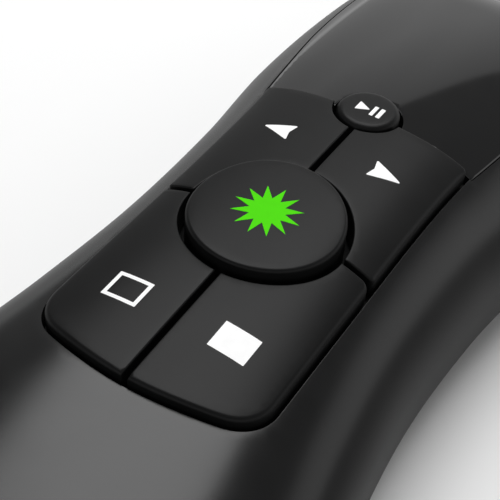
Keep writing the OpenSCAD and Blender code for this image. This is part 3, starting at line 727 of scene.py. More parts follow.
door_side = door_half + door_gap
groove_x, groove_z = 13.95, 2.95
parting_back = place_where(lambda y: parting_x(y) - groove_x, -64, -50)
groove_mouth = [(x, place_where(lambda y: under(x, y) - groove_z + 0.35, -60, -40))
                for x in evenly(door_side, groove_x, 0.4)]
bay_back = groove_mouth[0][1]
nose_rows = [nose_start + (half_length - nose_start) * math.sin(a) for a in evenly(0, math.pi / 2, 0.05)]
base_right = (groove_mouth + [(groove_x, y) for y in evenly(groove_mouth[-1][1], parting_back, 0.8)[1:-1]]
              + [(parting_x(y), y) for y in evenly(parting_back, nose_start, 1) + nose_rows[1:]])
base_nose = [(x, half_length) for x in evenly(base_right[-1][0], -base_right[-1][0], 1)[1:-1]]
base_bay = ([(-door_side, y) for y in evenly(bay_back, door_front + door_gap, 1)[1:]]
            + [(x, door_front + door_gap) for x in evenly(-door_side, door_side, 1)[1:-1]]
            + [(door_side, y) for y in evenly(door_front + door_gap, bay_back, 1)[:-1]])
base_left = [(-x, y) for x, y in reversed(base_right)]
base_outline = base_right + base_nose + base_left + base_bay


def floor_over(x, y, inset):
    """Height of the lower wall's inner face, no higher than the parting plane."""
    if abs(y) > half_length - inset or abs(x) >= girth(y, inset)[0]:
        return parting_z
    return min(under(x, y, inset), parting_z)


def base_inner(x, y):
    height = floor_over(x, y, wall)
    return min(height, groove_z) if abs(x) < groove_x - 0.01 and y < door_front + 0.4 else height


def base_edge(x, y):
    return min(0.15, (base_inner(x, y) - under(x, y)) / 2 + 0.02)


power_y = 27.0
power_rest = power_y - 1.5
back_screw, front_screw = (16.6, -33.0), (12.0, 40.0)
head_r, head_t = 1.6, 0.9
screw_places = [(side * x, y, seat) for x, y,
                seat in (back_screw + (4.4,), front_screw + (2.2,)) for side in (-1, 1)]
lower = Body()
moulded(lower, [base_outline, rounded_bar(4, 6.5, 1.2, (0, power_y))[::-1]]
        + [circle(head_r + 0.3, (x, y), 0.2)[::-1] for x, y, _ in screw_places], under, base_inner, base_edge)
moulded(lower, [rounded_bar(4.1, 6.6, 1.2, (0, power_y)), rounded_bar(1.8, 4.2, 0.5, (0, power_y))[::-1]],
        lambda x, y: 0.9, lambda x, y: 1.85, 0.15)
for x, y, seat in screw_places:
    mouth = seat - 0.3
    lower.rod([(1.95, mouth), (2.5, mouth), (2.5, parting_z - 0.05), (1.1, parting_z - 0.05), (1.1, seat),
               (1.95, seat),
               (1.95, mouth)], (x, y, 0), sides=32)
rail_start, rail_z, lip_z = -46, (3.2, 4.9), (4.5, 4.95)
for side in (-1, 1):
    rail = sorted((side * groove_x, side * 15.0))
    lip = sorted((side * 12.5, side * 14.8))
    lower.block((rail[0], rail_start, rail_z[0]), (rail[1], door_front, rail_z[1]), 0.1)
    lower.block((lip[0], rail_start + 0.2, lip_z[0]), (lip[1], door_front - 0.2, lip_z[1]), 0.08)
lower.made("lower_casing", "root", casing_black, "casing", "bottom_shell")

# ---- Battery door ----
# A long panel of the same black plastic under the cells. It slides off over the tail on two tongues,
# with a field of shallow grooves for the thumb.
door_end = [(x, place_where(lambda y: under(x, y) - 4.85, -64.9, -50)) for x in evenly(-door_half,
                                                                                       door_half, 0.8)]
door_outline = (door_end + [(door_half, y) for y in evenly(door_end[-1][1], door_front, 1)[1:]]
                + [(x, door_front) for x in evenly(door_half, -door_half, 1)[1:]]
                + [(-door_half, y) for y in evenly(door_front, door_end[0][1], 1)[1:-1]])
groove_first, groove_pitch, groove_count = -11.4, 2.4, 6


def door_face(x, y):
    """Underside of the door with its thumb grooves."""
    turn_no = round((y - groove_first) / groove_pitch)
    across = abs(y - groove_first - turn_no * groove_pitch) / 0.6
    ends = max(0.0, min((6.5 - abs(x)) / 0.5, 1.0))
    if across >= 1 or not 0 <= turn_no < groove_count:
        return under(x, y)
    return under(x, y) + 0.6 * ends * (1 + math.cos(math.pi * across)) / 2


def door_inner(x, y):
    return min(floor_over(x, y, 2), 4.85)


def door_edge(x, y):
    return min(0.18, (door_inner(x, y) - under(x, y)) / 2 + 0.02)


door = Body()
moulded(door, [door_outline], door_face, door_inner, door_edge, step=0.42)
tongue_x = (door_half - 0.9, door_half + 1.3)
tongue_end = [(x, place_where(lambda y: under(x, y, 0.3) - tongue[1] + 0.3, -64,
                              -45)) for x in evenly(*tongue_x, 0.5)]
tongue_outline = (tongue_end + [(tongue_x[1], y) for y in evenly(tongue_end[-1][1], door_front - 0.05, 1)[1:]]
                  + [(tongue_x[0], y) for y in evenly(door_front - 0.05, tongue_end[0][1], 1)[:-1]])
for outline in (tongue_outline, [(-x, y) for x, y in reversed(tongue_outline)]):
    moulded(door, [outline], lambda x, y: max(tongue[0], under(x, y, 0.3)), lambda x, y: tongue[1], 0.1)
door.made("battery_door_panel", "door", casing_black, "casing", "battery_door")

# ---- Front cover ----
# A separately moulded lid in glossy smoked black, 1.3 mm thick, let in flush with the casing. Its rear
# edge is bitten round by the well of the play key. The status light shines through it when it is lit.
cover_t = 1.3
play_y = 20.0
play_well_r = 4.05
bow = -0.25


def cover_back(x):
    return cover_edge + bow * (1 - (x / 12.9) ** 2)


cover_right = cover_side(0, cover_edge)
cover_right[-1] = (0.0, cover_right[-1][1])
bite_edge = place_where(lambda x: math.hypot(x, cover_back(x) - play_y) - play_well_r, 2, 8)
bite_start = math.atan2(cover_back(bite_edge) - play_y, bite_edge)
cover_outline = (cover_right + [(-x, y) for x, y in reversed(cover_right[:-1])]
                 + [(x, cover_back(x)) for x in evenly(-cover_right[0][0], -bite_edge, 0.7)[1:]]
                 + [(play_well_r * math.cos(a), play_y + play_well_r * math.sin(a))
                    for a in evenly(math.pi - bite_start, bite_start, 0.1)[1:]]
                 + [(x, cover_back(x)) for x in evenly(bite_edge, cover_right[0][0], 0.7)[1:-1]])
cover_black = plastic("cover_black", (0.006, 0.006, 0.0062), 0.06, 900, 0.0003, mottling=0.05)
cover = Body()
moulded(cover, [cover_outline], over, lambda x, y: over(x, y, cover_t),
        lambda x, y: 0.07 if math.hypot(x, y - play_y) < play_well_r + 0.01 else 0.2, step=0.6)
cover.made("front_lid", "root", cover_black, "cover", "front_cover")

# ---- Keypad ----
# Six moulded keys with a soft matte coat share one doubly crowned face. Four flat ones meet round the
# big pointer key, which stands 1 mm proud in its well, and the play key sits half in the cover.
key_bottom = 24.4
stem_bottom = 20.9
slit = 0.62
laser_well_r = 8.8
laser_r = 8.1
play_r = 3.6
side_gap_y = key_y


def crown(x, y, rise=0.0):
    """Height of the keys' common face, which follows the skin of the handle."""
    return over(x, y) + key_step + rise


def arc(centre, r, start, end, step=0.05):
    return [(centre[0] + r * math.cos(a), centre[1] + r * math.sin(a)) for a in evenly(start, end, step)]


def key_front(x):
    return keypad_front + bow * (1 - (x / key_front_half) ** 2)


def eased(line, corner, r):
    """The closed run with its point nearest to a corner replaced by a round of radius r."""
    i = min(range(len(line)), key=lambda n: math.dist(line[n], corner))
    here = Vector(line[i])
    before, after = Vector(line[i - 1]) - here, Vector(line[(i + 1) % len(line)]) - here
    before.normalize()
    after.normalize()
    half = before.angle(after) / 2
    reach = r / math.tan(half)
    middle = here + (before + after).normalized() * r / math.sin(half)
    first, last = here + before * reach - middle, here + after * reach - middle
    bend = first.angle_signed(last)
    steps = max(3, round(abs(bend) / 0.2))
    round_run = [tuple(middle + Matrix.Rotation(-bend * k / steps, 2) @ first) for k in range(steps + 1)]
    keep = [p for n, p in enumerate(line) if n != i and (math.dist(p, here) > reach + 0.05)]
    at = sum(1 for n, p in enumerate(line) if n < i and math.dist(p, here) > reach + 0.05)
    return keep[:at] + round_run + keep[at:]


inner = slit / 2
bottom_y, top_y = side_gap_y - inner, side_gap_y + inner
flank = keypad_side(0, keypad_front)
rear_right = (
    arc((0, key_y), laser_well_r, math.asin((bottom_y - key_y) / laser_well_r),
        -math.acos(inner / laser_well_r))
    + [(inner, y) for y in evenly(key_y - laser_well_r * math.sin(math.acos(inner / laser_well_r)),
                                  keypad_back, 0.8)[1:]]
    + [p for p in flank if p[0] > inner + 0.4 and p[1] < bottom_y - 0.4]
    + [(side_x(bottom_y), bottom_y)]
    + [(x, bottom_y) for x in evenly(side_x(bottom_y), laser_well_r, 0.6)[1:-1]])
rear_right = eased(rear_right, (side_x(bottom_y), bottom_y), 0.9)
play_edge = place_where(lambda x: math.hypot(x, key_front(x) - play_y) - play_well_r, 2, 8)
play_slit_y = play_y - play_well_r * math.sin(math.acos(inner / play_well_r))
front_right = (
    [(x, top_y) for x in evenly(laser_well_r, side_x(top_y), 0.6)[:-1]]
    + [(side_x(top_y), top_y)]
    + [p for p in flank if p[1] > top_y + 0.4][:-1]
    + [(key_front_half, key_front(key_front_half))]
    + [(x, key_front(x)) for x in evenly(key_front_half, play_edge, 0.6)[1:]]
    + arc((0, play_y), play_well_r, math.atan2(key_front(play_edge) - play_y, play_edge),
          -math.acos(inner / play_well_r), 0.08)[1:]
    + [(inner, y) for y in evenly(play_slit_y,
                                  key_y + laser_well_r * math.sin(math.acos(inner / laser_well_r)), 0.8)[1:]]
    + arc((0, key_y), laser_well_r, math.acos(inner / laser_well_r),
          math.asin((top_y - key_y) / laser_well_r))[1:-1])
front_right = eased(front_right, (side_x(top_y), top_y), 0.55)
front_right = eased(front_right, (key_front_half, keypad_front), 0.5)


def key_edge(x, y):
    """The keys' edges are softer along the flanks and the rear than along the slits and the wells."""
    room = min(abs(x) - inner, abs(y - side_gap_y) - inner, key_front(x) - y,
               math.hypot(x, y - key_y) - laser_well_r, math.hypot(x, y - play_y) - play_well_r)
    from_rear = y - keypad_back - x * x / (2 * back_arc)
    return 0.2 + 0.28 * max(part_way(room, 0, 0.8), part_way(from_rear, 0.6, 0))


key_grey = plastic("key_grey", (0.0055, 0.0056, 0.0057), 0.38, 5200, 0.003, specular=0.14)


def stemmed(outline, rise, edge, place):
    """A key: its moulded cap and the round stem under it."""
    key = Body()
    moulded(key, [outline], lambda x, y: crown(x, y, rise), lambda x, y: key_bottom, edge, step=0.7)
    key.rod([(0, stem_bottom), (1.4, stem_bottom), (1.5, stem_bottom + 0.1), (1.5, key_bottom + 0.4),
             (0, key_bottom + 0.4)],
            (place[0], place[1], 0), sides=32)
    return key


front_switch, rear_switch = (6.8, 11.2), (6.2, -16.0)
for name, outline, place in (("screen_solid", rear_right, rear_switch), ("next", front_right, front_switch)):
    twin = {"screen_solid": "screen_outline", "next": "previous"}[name]
    stemmed(outline, 0, key_edge, place).made(name + "_cap", name, key_grey, "keys", name + "_key")
    stemmed([(-x, y) for x, y in reversed(outline)], 0, key_edge, (-place[0], place[1])).made(
        twin + "_cap", twin, key_grey, "keys", twin + "_key")
stemmed(circle(laser_r, (0, key_y), 0.06), 1, 0.4, (0, key_y)).made("laser_cap", "laser", key_grey, "keys",
                                                                    "laser_key")
stemmed(circle(play_r, (0, play_y), 0.08), 0.2, 0.8, (0, play_y)).made("play_cap", "play", key_grey, "keys",
                                                                       "play_key")

# ---- Marks on the keys ----
# Pad-printed symbols, a few hundredths of a millimetre of ink: a green burst on the pointer key, an
# outlined and a solid screen, two arrows, and play and pause.
def ink(name, colour):
    """Printing ink: an even colour with a faint unevenness and a slight sheen."""
    return plastic(name, colour, 0.5, 4000, 0.0015, mottling=0.02, patch=900, specular=0.05)


white_ink = ink("white_ink", (0.95, 0.95, 0.95))
green_ink = ink("green_ink", (0.075, 0.68, 0.0))


def short_steps(line, step=0.25):
    """The closed run with points added, so that thin ink follows the crowned key."""
    result = []
    for (x0, y0), (x1, y1) in zip(line, line[1:] + line[:1]):
        count = max(1, math.ceil(math.hypot(x1 - x0, y1 - y0) / step))
        result += [(x0 + (x1 - x0) * n / count, y0 + (y1 - y0) * n / count) for n in range(count)]
    return result


def printed(name, body, shapes, finish, rise=0.0):
    mark = Body()
    for outlines in shapes:
        outlines = [short_steps(line) for line in outlines]
        moulded(mark, outlines, lambda x, y: crown(x, y, rise) + 0.02,
                lambda x, y: crown(x, y, rise) - 0.06, 0.0, step=0.5)
    return mark.made(name, body, finish, "keys")


burst_tips = 12
burst = []
for n in range(2 * burst_tips):
    a = math.pi * n / burst_tips
    r = 3.68 if n % 2 == 0 else 1.84
    burst.append((r * math.cos(a), key_y + r * math.sin(a)))
printed("burst_mark", "laser", [[burst]], green_ink, 1)
screen_x, screen_y, screen_w, screen_h, stroke = 5.93, -17.15, 3.86, 3.29, 0.41
frame_centre = (0.12 - screen_x, screen_y - 0.08)
frame_outline = rounded_bar(screen_w / 2, screen_h / 2, 0.07, frame_centre)
frame_hole = rounded_bar(screen_w / 2 - stroke, screen_h / 2 - stroke, 0.05, frame_centre)[::-1]
printed("screen_outline_mark", "screen_outline", [[frame_outline, frame_hole]], white_ink)
printed("screen_solid_mark", "screen_solid",
        [[rounded_bar(screen_w / 2, screen_h / 2, 0.07, (screen_x, screen_y))]], white_ink)


def cornered(points, r):
    """A polygon with each corner eased."""
    line = list(points)
    for corner in points:
        line = eased(line, corner, r)
    return line


arrow = [(8.42, 11.43), (4.85, 12.76), (5.2, 11.36), (4.85, 9.93)]
right_arrow = cornered(arrow, 0.12)
printed("next_mark", "next", [[right_arrow]], white_ink)
printed("previous_mark", "previous", [[[(-x, y) for x, y in reversed(right_arrow)]]], white_ink)
play_triangle = cornered([(-1.34, 19.0), (0.25, 19.84), (-1.34, 20.7)], 0.1)
pause_bars = [rounded_bar(0.225, 0.925, 0.08, (0.685, 19.875)),
              rounded_bar(0.25, 0.925, 0.08, (1.51, 19.875))]
printed("play_mark", "play", [[play_triangle]] + [[bar] for bar in pause_bars], white_ink, 0.2)

# ---- Guide plate ----
# The black moulded plate under the keys that carries their stems and closes the slits between them.
# It is left as moulded, without the casing's texture.
def dress(finish, *nodes):
    """Gives carried-over solids their finish."""
    for node in nodes:
        for material_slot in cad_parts[node].material_slots:
            material_slot.material = finish


dress(plastic("guide_black", (0.004, 0.004, 0.004), 0.6, 3000, 0.004, specular=0.2), "key_guide")


# ---- Small metal parts ----
# Screws of zinc-plated steel, cross-headed. Four hold the halves of the casing together from below, and
# four smaller ones hold the main board to the guide plate.
def metal(name, colour, roughness, scale=900, stretch=(1, 1, 1), depth=0.002, wear=0.06):
    """Bare or plated metal with fine marks, drawn out along the axes that stretch makes small."""
    finish, tree, shader, place = begun(name)
    shader.inputs["Metallic"].default_value = 1
    drawn = node(tree, "Mapping", {"Vector": place, "Scale": stretch}).outputs["Vector"]
    marks = noise(tree, drawn, scale, 4)
    shaded(tree, shader, marks, [c * (1 - wear) for c in colour], [min(c * (1 + wear), 1) for c in colour],
           (0.35, 0.65))
    worn(tree, shader, marks, max(roughness - 0.08, 0.02), roughness + 0.08)
    raised(tree, shader, marks, depth)
    return finish


def repeated(name, part, places, finish):
    """A plain mesh with one copy of a part at each place, laid out by Geometry Nodes."""
    tree = bpy.data.node_groups.new(name + "_layout", "GeometryNodeTree")
    sockets = tree.interface
    sockets.new_socket("Places", in_out="INPUT", socket_type="NodeSocketGeometry")
    part_input = sockets.new_socket("Part", in_out="INPUT", socket_type="NodeSocketObject")
    size_input = sockets.new_socket("Part Size", in_out="INPUT", socket_type="NodeSocketFloat")
    finish_input = sockets.new_socket("Finish", in_out="INPUT", socket_type="NodeSocketMaterial")
    sockets.new_socket("Parts", in_out="OUTPUT", socket_type="NodeSocketGeometry")
    start, end, info, instances, realised, painted = (tree.nodes.new(kind) for kind in (
        "NodeGroupInput", "NodeGroupOutput", "GeometryNodeObjectInfo", "GeometryNodeInstanceOnPoints",
        "GeometryNodeRealizeInstances", "GeometryNodeSetMaterial"))
    for giver, output, taker, socket in (
            (start, "Part", info, "Object"), (start, "Places", instances, "Points"),
            (info, "Geometry", instances, "Instance"), (start, "Part Size", instances, "Scale"),
            (instances, "Instances", realised, "Geometry"), (realised, "Geometry", painted, "Geometry"),
            (start, "Finish", painted, "Material"), (painted, "Geometry", end, "Parts")):
        tree.links.new(giver.outputs[output], taker.inputs[socket])
    cloud = bpy.data.meshes.new(name + "_places")
    cloud.from_pydata([tuple(c * mm for c in place) for place in places], [], [])
    holder = bpy.data.objects.new(name + "_holder", cloud)
    pattern = bpy.data.objects.new(name + "_part", part.mesh(name + "_part"))
    for thing in (holder, pattern):
        bpy.context.scene.collection.objects.link(thing)
    layout = holder.modifiers.new("layout", "NODES")
    layout.node_group = tree
    layout[part_input.identifier] = pattern
    layout[size_input.identifier] = 1.0
    layout[finish_input.identifier] = finish
    graph = bpy.context.evaluated_depsgraph_get()
    mesh = bpy.data.meshes.new_from_object(holder.evaluated_get(graph), depsgraph=graph)
    mesh.name = name
    holder.modifiers.remove(layout)
    for thing in (holder, pattern):
        bpy.data.objects.remove(thing)
    return mesh


def laid_out(part, places, name, body, finish, slot, *nodes):
    """One finished piece made of copies of a part."""
    return placed(repeated(name, part, places, finish), name, body, finish, slot, *nodes)


def cross_screw(length, shank_r=0.9):
    """A screw with its head at the bottom: rounded edge, cross recess, and a thread shown as fine rings."""
    screw = Body()
    arm, half = 1.2, 0.25
    cross = [(arm, half), (half, half), (half, arm), (-half, arm), (-half, half), (-arm, half),
             (-arm, -half), (-half, -half), (-half, -arm), (half, -arm), (half, -half), (arm, -half)]
    rim = circle(head_r, step=0.2)
    face = [(x * 0.86, y * 0.86) for x, y in rim]
    laid, faces = filled([face, cross[::-1]], [(0, 99)], 0.1)
    screw.patch([(x, y, 0) for x, y in laid], faces)
    laid, faces = filled([cross], [(0, 99)], 0.1)
    screw.patch([(x * 0.8, y * 0.8, 0.6) for x, y in laid], faces)
    screw.bridge([[(x, y, 0) for x, y in cross], [(x * 0.8, y * 0.8, 0.6) for x, y in cross]])
    rings = [[(x, y, 0) for x, y in face], [(x * 0.95, y * 0.95, 0.1) for x, y in rim],
             [(x, y, 0.35) for x, y in rim],
             [(x, y, head_t) for x, y in rim], [(x * shank_r / head_r, y * shank_r / head_r, head_t) for x,
                                                y in rim]]
    z, crest_here = head_t + 0.35, False
    while z < length - 0.6:
        r = (shank_r if crest_here else shank_r * 0.8) / head_r
        rings.append([(x * r, y * r, z) for x, y in rim])
        z, crest_here = z + 0.22, not crest_here
    rings += [[(x * 0.3, y * 0.3, length - 0.4) for x, y in rim],
              [(x * 0.02, y * 0.02, length) for x, y in rim]]
    screw.bridge(rings)
    laid, faces = filled([[(x * 0.02, y * 0.02) for x, y in rim]], [(0, 99)], 0.1)
    screw.patch([(x, y, length) for x, y in laid], faces)
    return screw


zinc = metal("zinc", (0.52, 0.53, 0.55), 0.3)
dark_zinc = metal("dark_zinc", (0.10, 0.10, 0.105), 0.35)
guide_seat = 16.4
board_posts = [(-10.4, 3.6), (10.4, 3.6), (-9.2, -21.6), (9.2, -21.6)]
laid_out(cross_screw(10), [(x, y, seat - head_t) for x, y, seat in screw_places], "casing_screws", "root",
         dark_zinc, "screw", "shell_screws")
laid_out(cross_screw(5), [(x, y, guide_seat - head_t) for x, y in board_posts], "guide_screws", "root",
         zinc, "can", "board_screws")

# ---- Key switches ----
# Six square tactile switches on the main board. Each has a pressed steel cover over a black base, held
# by four rivets, and a round button of its own that moves with the key above it.
switch_places = [(0, key_y), (-6.8, 11.2), (6.8, 11.2), (-6.2, -16), (6.2, -16), (0, play_y)]
switch_base = Body()
moulded(switch_base, [rounded_bar(3, 3, 0.3), circle(1.68, step=0.2)[::-1]], lambda x, y: 1.45,
        lambda x, y: 0.0, 0.05)
switch_cover = Body()
moulded(switch_cover, [rounded_bar(2.95, 2.95, 0.3), circle(1.72, step=0.2)[::-1]], lambda x, y: 1.72,
        lambda x, y: 1.46, 0.05)
for x in (-2.25, 2.25):
    for y in (-2.25, 2.25):
        switch_cover.rod([(0, 1.6), (0.42, 1.6), (0.42, 1.88), (0.3, 1.98), (0, 2)], (x, y, 0), sides=16)
switch_black = plastic("switch_black", (0.02, 0.02, 0.021), 0.45, 4000, 0.002)
steel = metal("steel", (0.6, 0.6, 0.61), 0.25, stretch=(0.15, 1, 1))
board_top = 18.0
board_places = [(x, y, board_top) for x, y in switch_places]
laid_out(switch_base, board_places, "switch_bases", "root", switch_black, "switch_body", "key_switches")
laid_out(switch_cover, board_places, "switch_covers", "root", steel, "can")
dress(plastic("button_ivory", (0.62, 0.60, 0.54), 0.4, 3000, 0.001, mottling=0.04),
      *[key + "_switch_button" for key in (
          "laser", "previous", "next", "screen_outline", "screen_solid", "play")])


# ---- Boards and their parts ----
# Two fibreglass boards under green solder mask with copper tracks showing through. The main one carries
# the two chips, the crystal, a row of ceramic capacitors and the folded antenna at the nose.
def masked_board(name):
    """Green solder mask: tracks as thin raised bands along the board and across it, broken up by noise."""
    finish, tree, shader, place = begun(name)
    shader.inputs["Roughness"].default_value = 0.3
    breaks = noise(tree, place, 130)
    tracks = []
    for axis, run in (("X", (0.52, 0.56)), ("Y", (0.48, 0.44))):
        bands = node(tree, "TexWave", {"Vector": place, "Scale": 130}, bands_direction=axis).outputs["Fac"]
        line = carried(tree, bands, (0.86, 0.92), (0, 1))
        tracks.append(computed(tree, "MULTIPLY", line, carried(tree, breaks, run, (0, 1))))
    copper = computed(tree, "MAXIMUM", *tracks)
    mask = mixed(tree, copper, (0.006, 0.085, 0.028, 1), (0.03, 0.20, 0.06, 1))
    tree.links.new(mask, shader.inputs["Base Color"])
    raised(tree, shader, copper, 0.03)
    return finish


dress(masked_board("solder_mask"), "main_board", "driver_board")
epoxy = plastic("epoxy", (0.014, 0.014, 0.015), 0.5, 9000, 0.002)
tin = metal("tin", (0.62, 0.62, 0.60), 0.35)


def chip_body(x, y, width, length, height):
    """A moulded package with drafted sides and the dimple that marks its first pin."""
    package = Body()
    dimple = circle(0.35, (x - width / 2 + 0.9, y + length / 2 - 0.9), 0.4)
    outline = rounded_bar(width / 2 - 0.35, length / 2 - 0.35, 0.1, (x, y))
    moulded(package, [outline, dimple[::-1]], lambda u, v: board_top + height, lambda u, v: board_top + 0.1,
            0.06)
    low, high = board_top + 0.2, board_top + height - 0.1
    package.rod([(0, low), (0.4, low), (0.4, high), (0, high)],
                (x - width / 2 + 0.9, y + length / 2 - 0.9, 0), sides=20)
    return package


for name, x, y, width, height in (("controller", 0, 32, 7, 1.0), ("radio", -4, 42, 5, 0.9)):
    chip_body(x, y, width, width, height).made(name + "_package", "root", epoxy, "chip", name + "_chip")
    pin = Body()
    pin.block((-0.11, -0.11, 0.0), (0.11, 0.11, 0.32), 0.03)
    pitch = 0.5
    reach = width / 2 - 0.13
    row = [n * pitch for n in range(-round((width / 2 - 0.9) / pitch), round((width / 2 - 0.9) / pitch) + 1)]
    pins = [(x + side * reach, y + n, board_top) for side in (-1, 1) for n in row] + [
        (x + n, y + side * reach, board_top) for side in (-1, 1) for n in row]
    laid_out(pin, pins, name + "_pins", "root", tin, "can")
crystal_can = Body()
moulded(crystal_can, [rounded_bar(1.6, 2.5, 0.8, (4, 41))], lambda x, y: board_top + 1.1,
        lambda x, y: board_top + 0.35, 0.2)
moulded(crystal_can, [rounded_bar(1.58, 2.48, 0.4, (4, 41))], lambda x, y: board_top + 0.34,
        lambda x, y: board_top, 0.05)
crystal_can.made("crystal_can", "root", steel, "can", "crystal")
ceramic, cap_ends = Body(), Body()
ceramic.block((-0.52, -0.42, 0.04), (0.52, 0.42, 0.76), 0.05)
for end in (-1, 1):
    cap_ends.block((min(end * 0.5, end * 0.8), -0.45, 0), (max(end * 0.5, end * 0.8), 0.45, 0.8), 0.06)
cap_places = [(side * 7, 28 + 2.4 * n, board_top) for side in (-1, 1) for n in range(5)]
cap_places += [(0, y, board_top) for y in (-9.2, 1.8, 6.2)]
cap_tan = plastic("cap_tan", (0.36, 0.22, 0.10), 0.45, 3000, 0.002)
laid_out(ceramic, cap_places, "capacitor_bodies", "root", cap_tan, "capacitor", "capacitors")
laid_out(cap_ends, cap_places, "capacitor_ends", "root", tin, "can")
gold = metal("gold", (0.83, 0.60, 0.26), 0.25)
dress(gold, "antenna", "receiver_contacts", "laser_diode")
dress(plastic("led_amber", (0.75, 0.62, 0.22), 0.3, 4000, 0.001), "status_led")
dress(switch_black, "board_connector")
coil = Body()
winding = [(2.25 if n % 2 else 2.1, 10.0 + 0.12 * n) for n in range(1, 8)]
coil.rod([(0, 9.4), (2.3, 9.4), (2.4, 9.5), (2.4, 10.0)] + winding
         + [(2.4, 11.0), (2.4, 11.7), (2.3, 11.8), (0, 11.8)], (5, 26, 0))
coil.made("choke", "root", plastic("ferrite", (0.03, 0.03, 0.032), 0.6, 2500, 0.01), "chip", "driver_parts")
reservoir = Body()
reservoir.rod([(0, 9.4), (1.9, 9.4), (2, 9.5), (2, 9.9), (1.85, 10.1), (2, 10.3), (2, 14.15), (1.8, 14.38),
               (1.5, 14.38), (1.45, 14.3), (0, 14.3)],
              (-5.2, 26, 0))
reservoir.made("reservoir", "root", metal("aluminium", (0.75, 0.76, 0.78), 0.22), "can")
regulator = Body()
regulator.block((3.3, 31, 9.45), (5.9, 33.6, 10.8), 0.1)
regulator.made("regulator", "root", epoxy, "chip")
leg = Body()
leg.block((-0.5, -0.2, 0), (0.5, 0.2, 0.25), 0.05)
leg_places = [(4.6 + side * 1.7, 31.4 + 0.6 * n, 9.4) for side in (-1, 1) for n in range(4)]
laid_out(leg, leg_places, "regulator_legs", "root", tin, "can")


# ---- Status light ----
# A clear light pipe that stands over the light on the board and ends just under the front cover's skin.
def clear(name, tint, roughness=0.03):
    """Clear glass or moulded acrylic, with faint waviness in its faces."""
    finish, tree, shader, place = begun(name)
    shader.inputs["Base Color"].default_value = tint + (1,)
    shader.inputs["Transmission Weight"].default_value = 1
    shader.inputs["IOR"].default_value = 1.49
    waves = noise(tree, place, 400)
    worn(tree, shader, waves, roughness, roughness + 0.04)
    raised(tree, shader, waves, 0.002)
    return finish


dress(clear("light_pipe", (0.85, 0.95, 0.87)), "status_lens")

# ---- Power slider ----
# A small moulded knob with finger ribs in the thumb recess of the sole, on a plate that slides inside
# the casing and moves the lever of a metal-cased switch on the driver board.
knob = Body()
moulded(knob, [rounded_bar(1.5, 2.5, 0.3, (0, power_rest))], lambda x, y: 0.75, lambda x, y: 2.2, 0.12)
knob.block((-3.2, power_rest - 3.6, 2.1), (3.2, power_rest + 3.6, 3.0), 0.12)
for end in (-1.5, 1.5):
    knob.block((-1.6, power_rest + end - 0.6, 2.9), (1.6, power_rest + end + 0.6, 4.6), 0.1)
knob_grey = plastic("knob_grey", (0.030, 0.030, 0.031), 0.45, 5000, 0.003)
knob.made("power_knob", "power", knob_grey, "keys", "power_slider")
knob_rib = Body()
knob_rib.block((-1.35, -0.28, 0.0), (1.35, 0.28, 0.5), 0.12)
laid_out(knob_rib, [(0, power_rest + 1.35 * n, 0.42) for n in (-1, 0, 1)], "power_ribs", "power", knob_grey,
         "keys")
dress(steel, "power_switch")
dress(plastic("lever_white", (0.7, 0.7, 0.68), 0.35, 3000, 0.001, mottling=0.03), "power_lever")

# ---- Beam ----
# A turned brass barrel holds the diode and the lens in a black clamp. At the nose a turned ring of dark
# anodised aluminium holds the window.
along_y = Matrix.Rotation(math.radians(-90), 3, "X")
ring_black = metal("ring_black", (0.16, 0.165, 0.175), 0.3, scale=500, stretch=(1, 0.02, 1))
nose = Body()
nose.rod([(2.6, 62.2), (4.55, 62.2), (4.7, 62.35), (4.7, 64.85), (4.55, 65.0), (3.75, 65.0), (3.5, 64.7),
          (3.5, 63.3),
          (2.6, 63.3), (2.6, 62.2)], (0, 0, beam_z), along_y, 64)
nose.made("beam_ring", "root", ring_black, "ring", "nose_ring")
dress(clear("window_glass", (0.55, 0.62, 0.60)), "laser_window")
dress(clear("lens_glass", (0.9, 0.97, 0.95)), "laser_lens")
dress(metal("brass", (0.72, 0.52, 0.22), 0.24, scale=700, stretch=(0.1, 1, 0.1)), "laser_barrel")
tray_black = plastic("tray_black", (0.022, 0.022, 0.023), 0.5, 2600, 0.006)
dress(tray_black, "laser_clamp")

# ---- Cells, contacts and tray ----
# Two cells in printed film sleeves with crimped metal ends lie side by side in a moulded tray. Nickel
# plates and coned springs of plated wire touch their ends, and two insulated leads go to the driver board.
def recoloured(finish, share, colour):
    """Gives a part of a finish another colour."""
    tree = finish.node_tree
    socket = tree.nodes["Principled BSDF"].inputs["Base Color"]
    tree.links.new(mixed(tree, share, socket.links[0].from_socket, colour), socket)


def sleeved(name, band_from, band_to):
    """Film sleeve: pale grey with one blue band, between two places along the cell."""
    finish = plastic(name, (0.5, 0.5, 0.5), 0.25, 1800, 0.001, mottling=0.03)
    tree = finish.node_tree
    place = node(tree, "TexCoord").outputs["Object"]
    along_cell = node(tree, "SeparateXYZ", {0: place}).outputs["Y"]
    band = computed(tree, "MULTIPLY", computed(tree, "GREATER_THAN", along_cell, band_from * mm),
                    computed(tree, "LESS_THAN", along_cell, band_to * mm))
    recoloured(finish, band, (0.012, 0.05, 0.19, 1))
    return finish


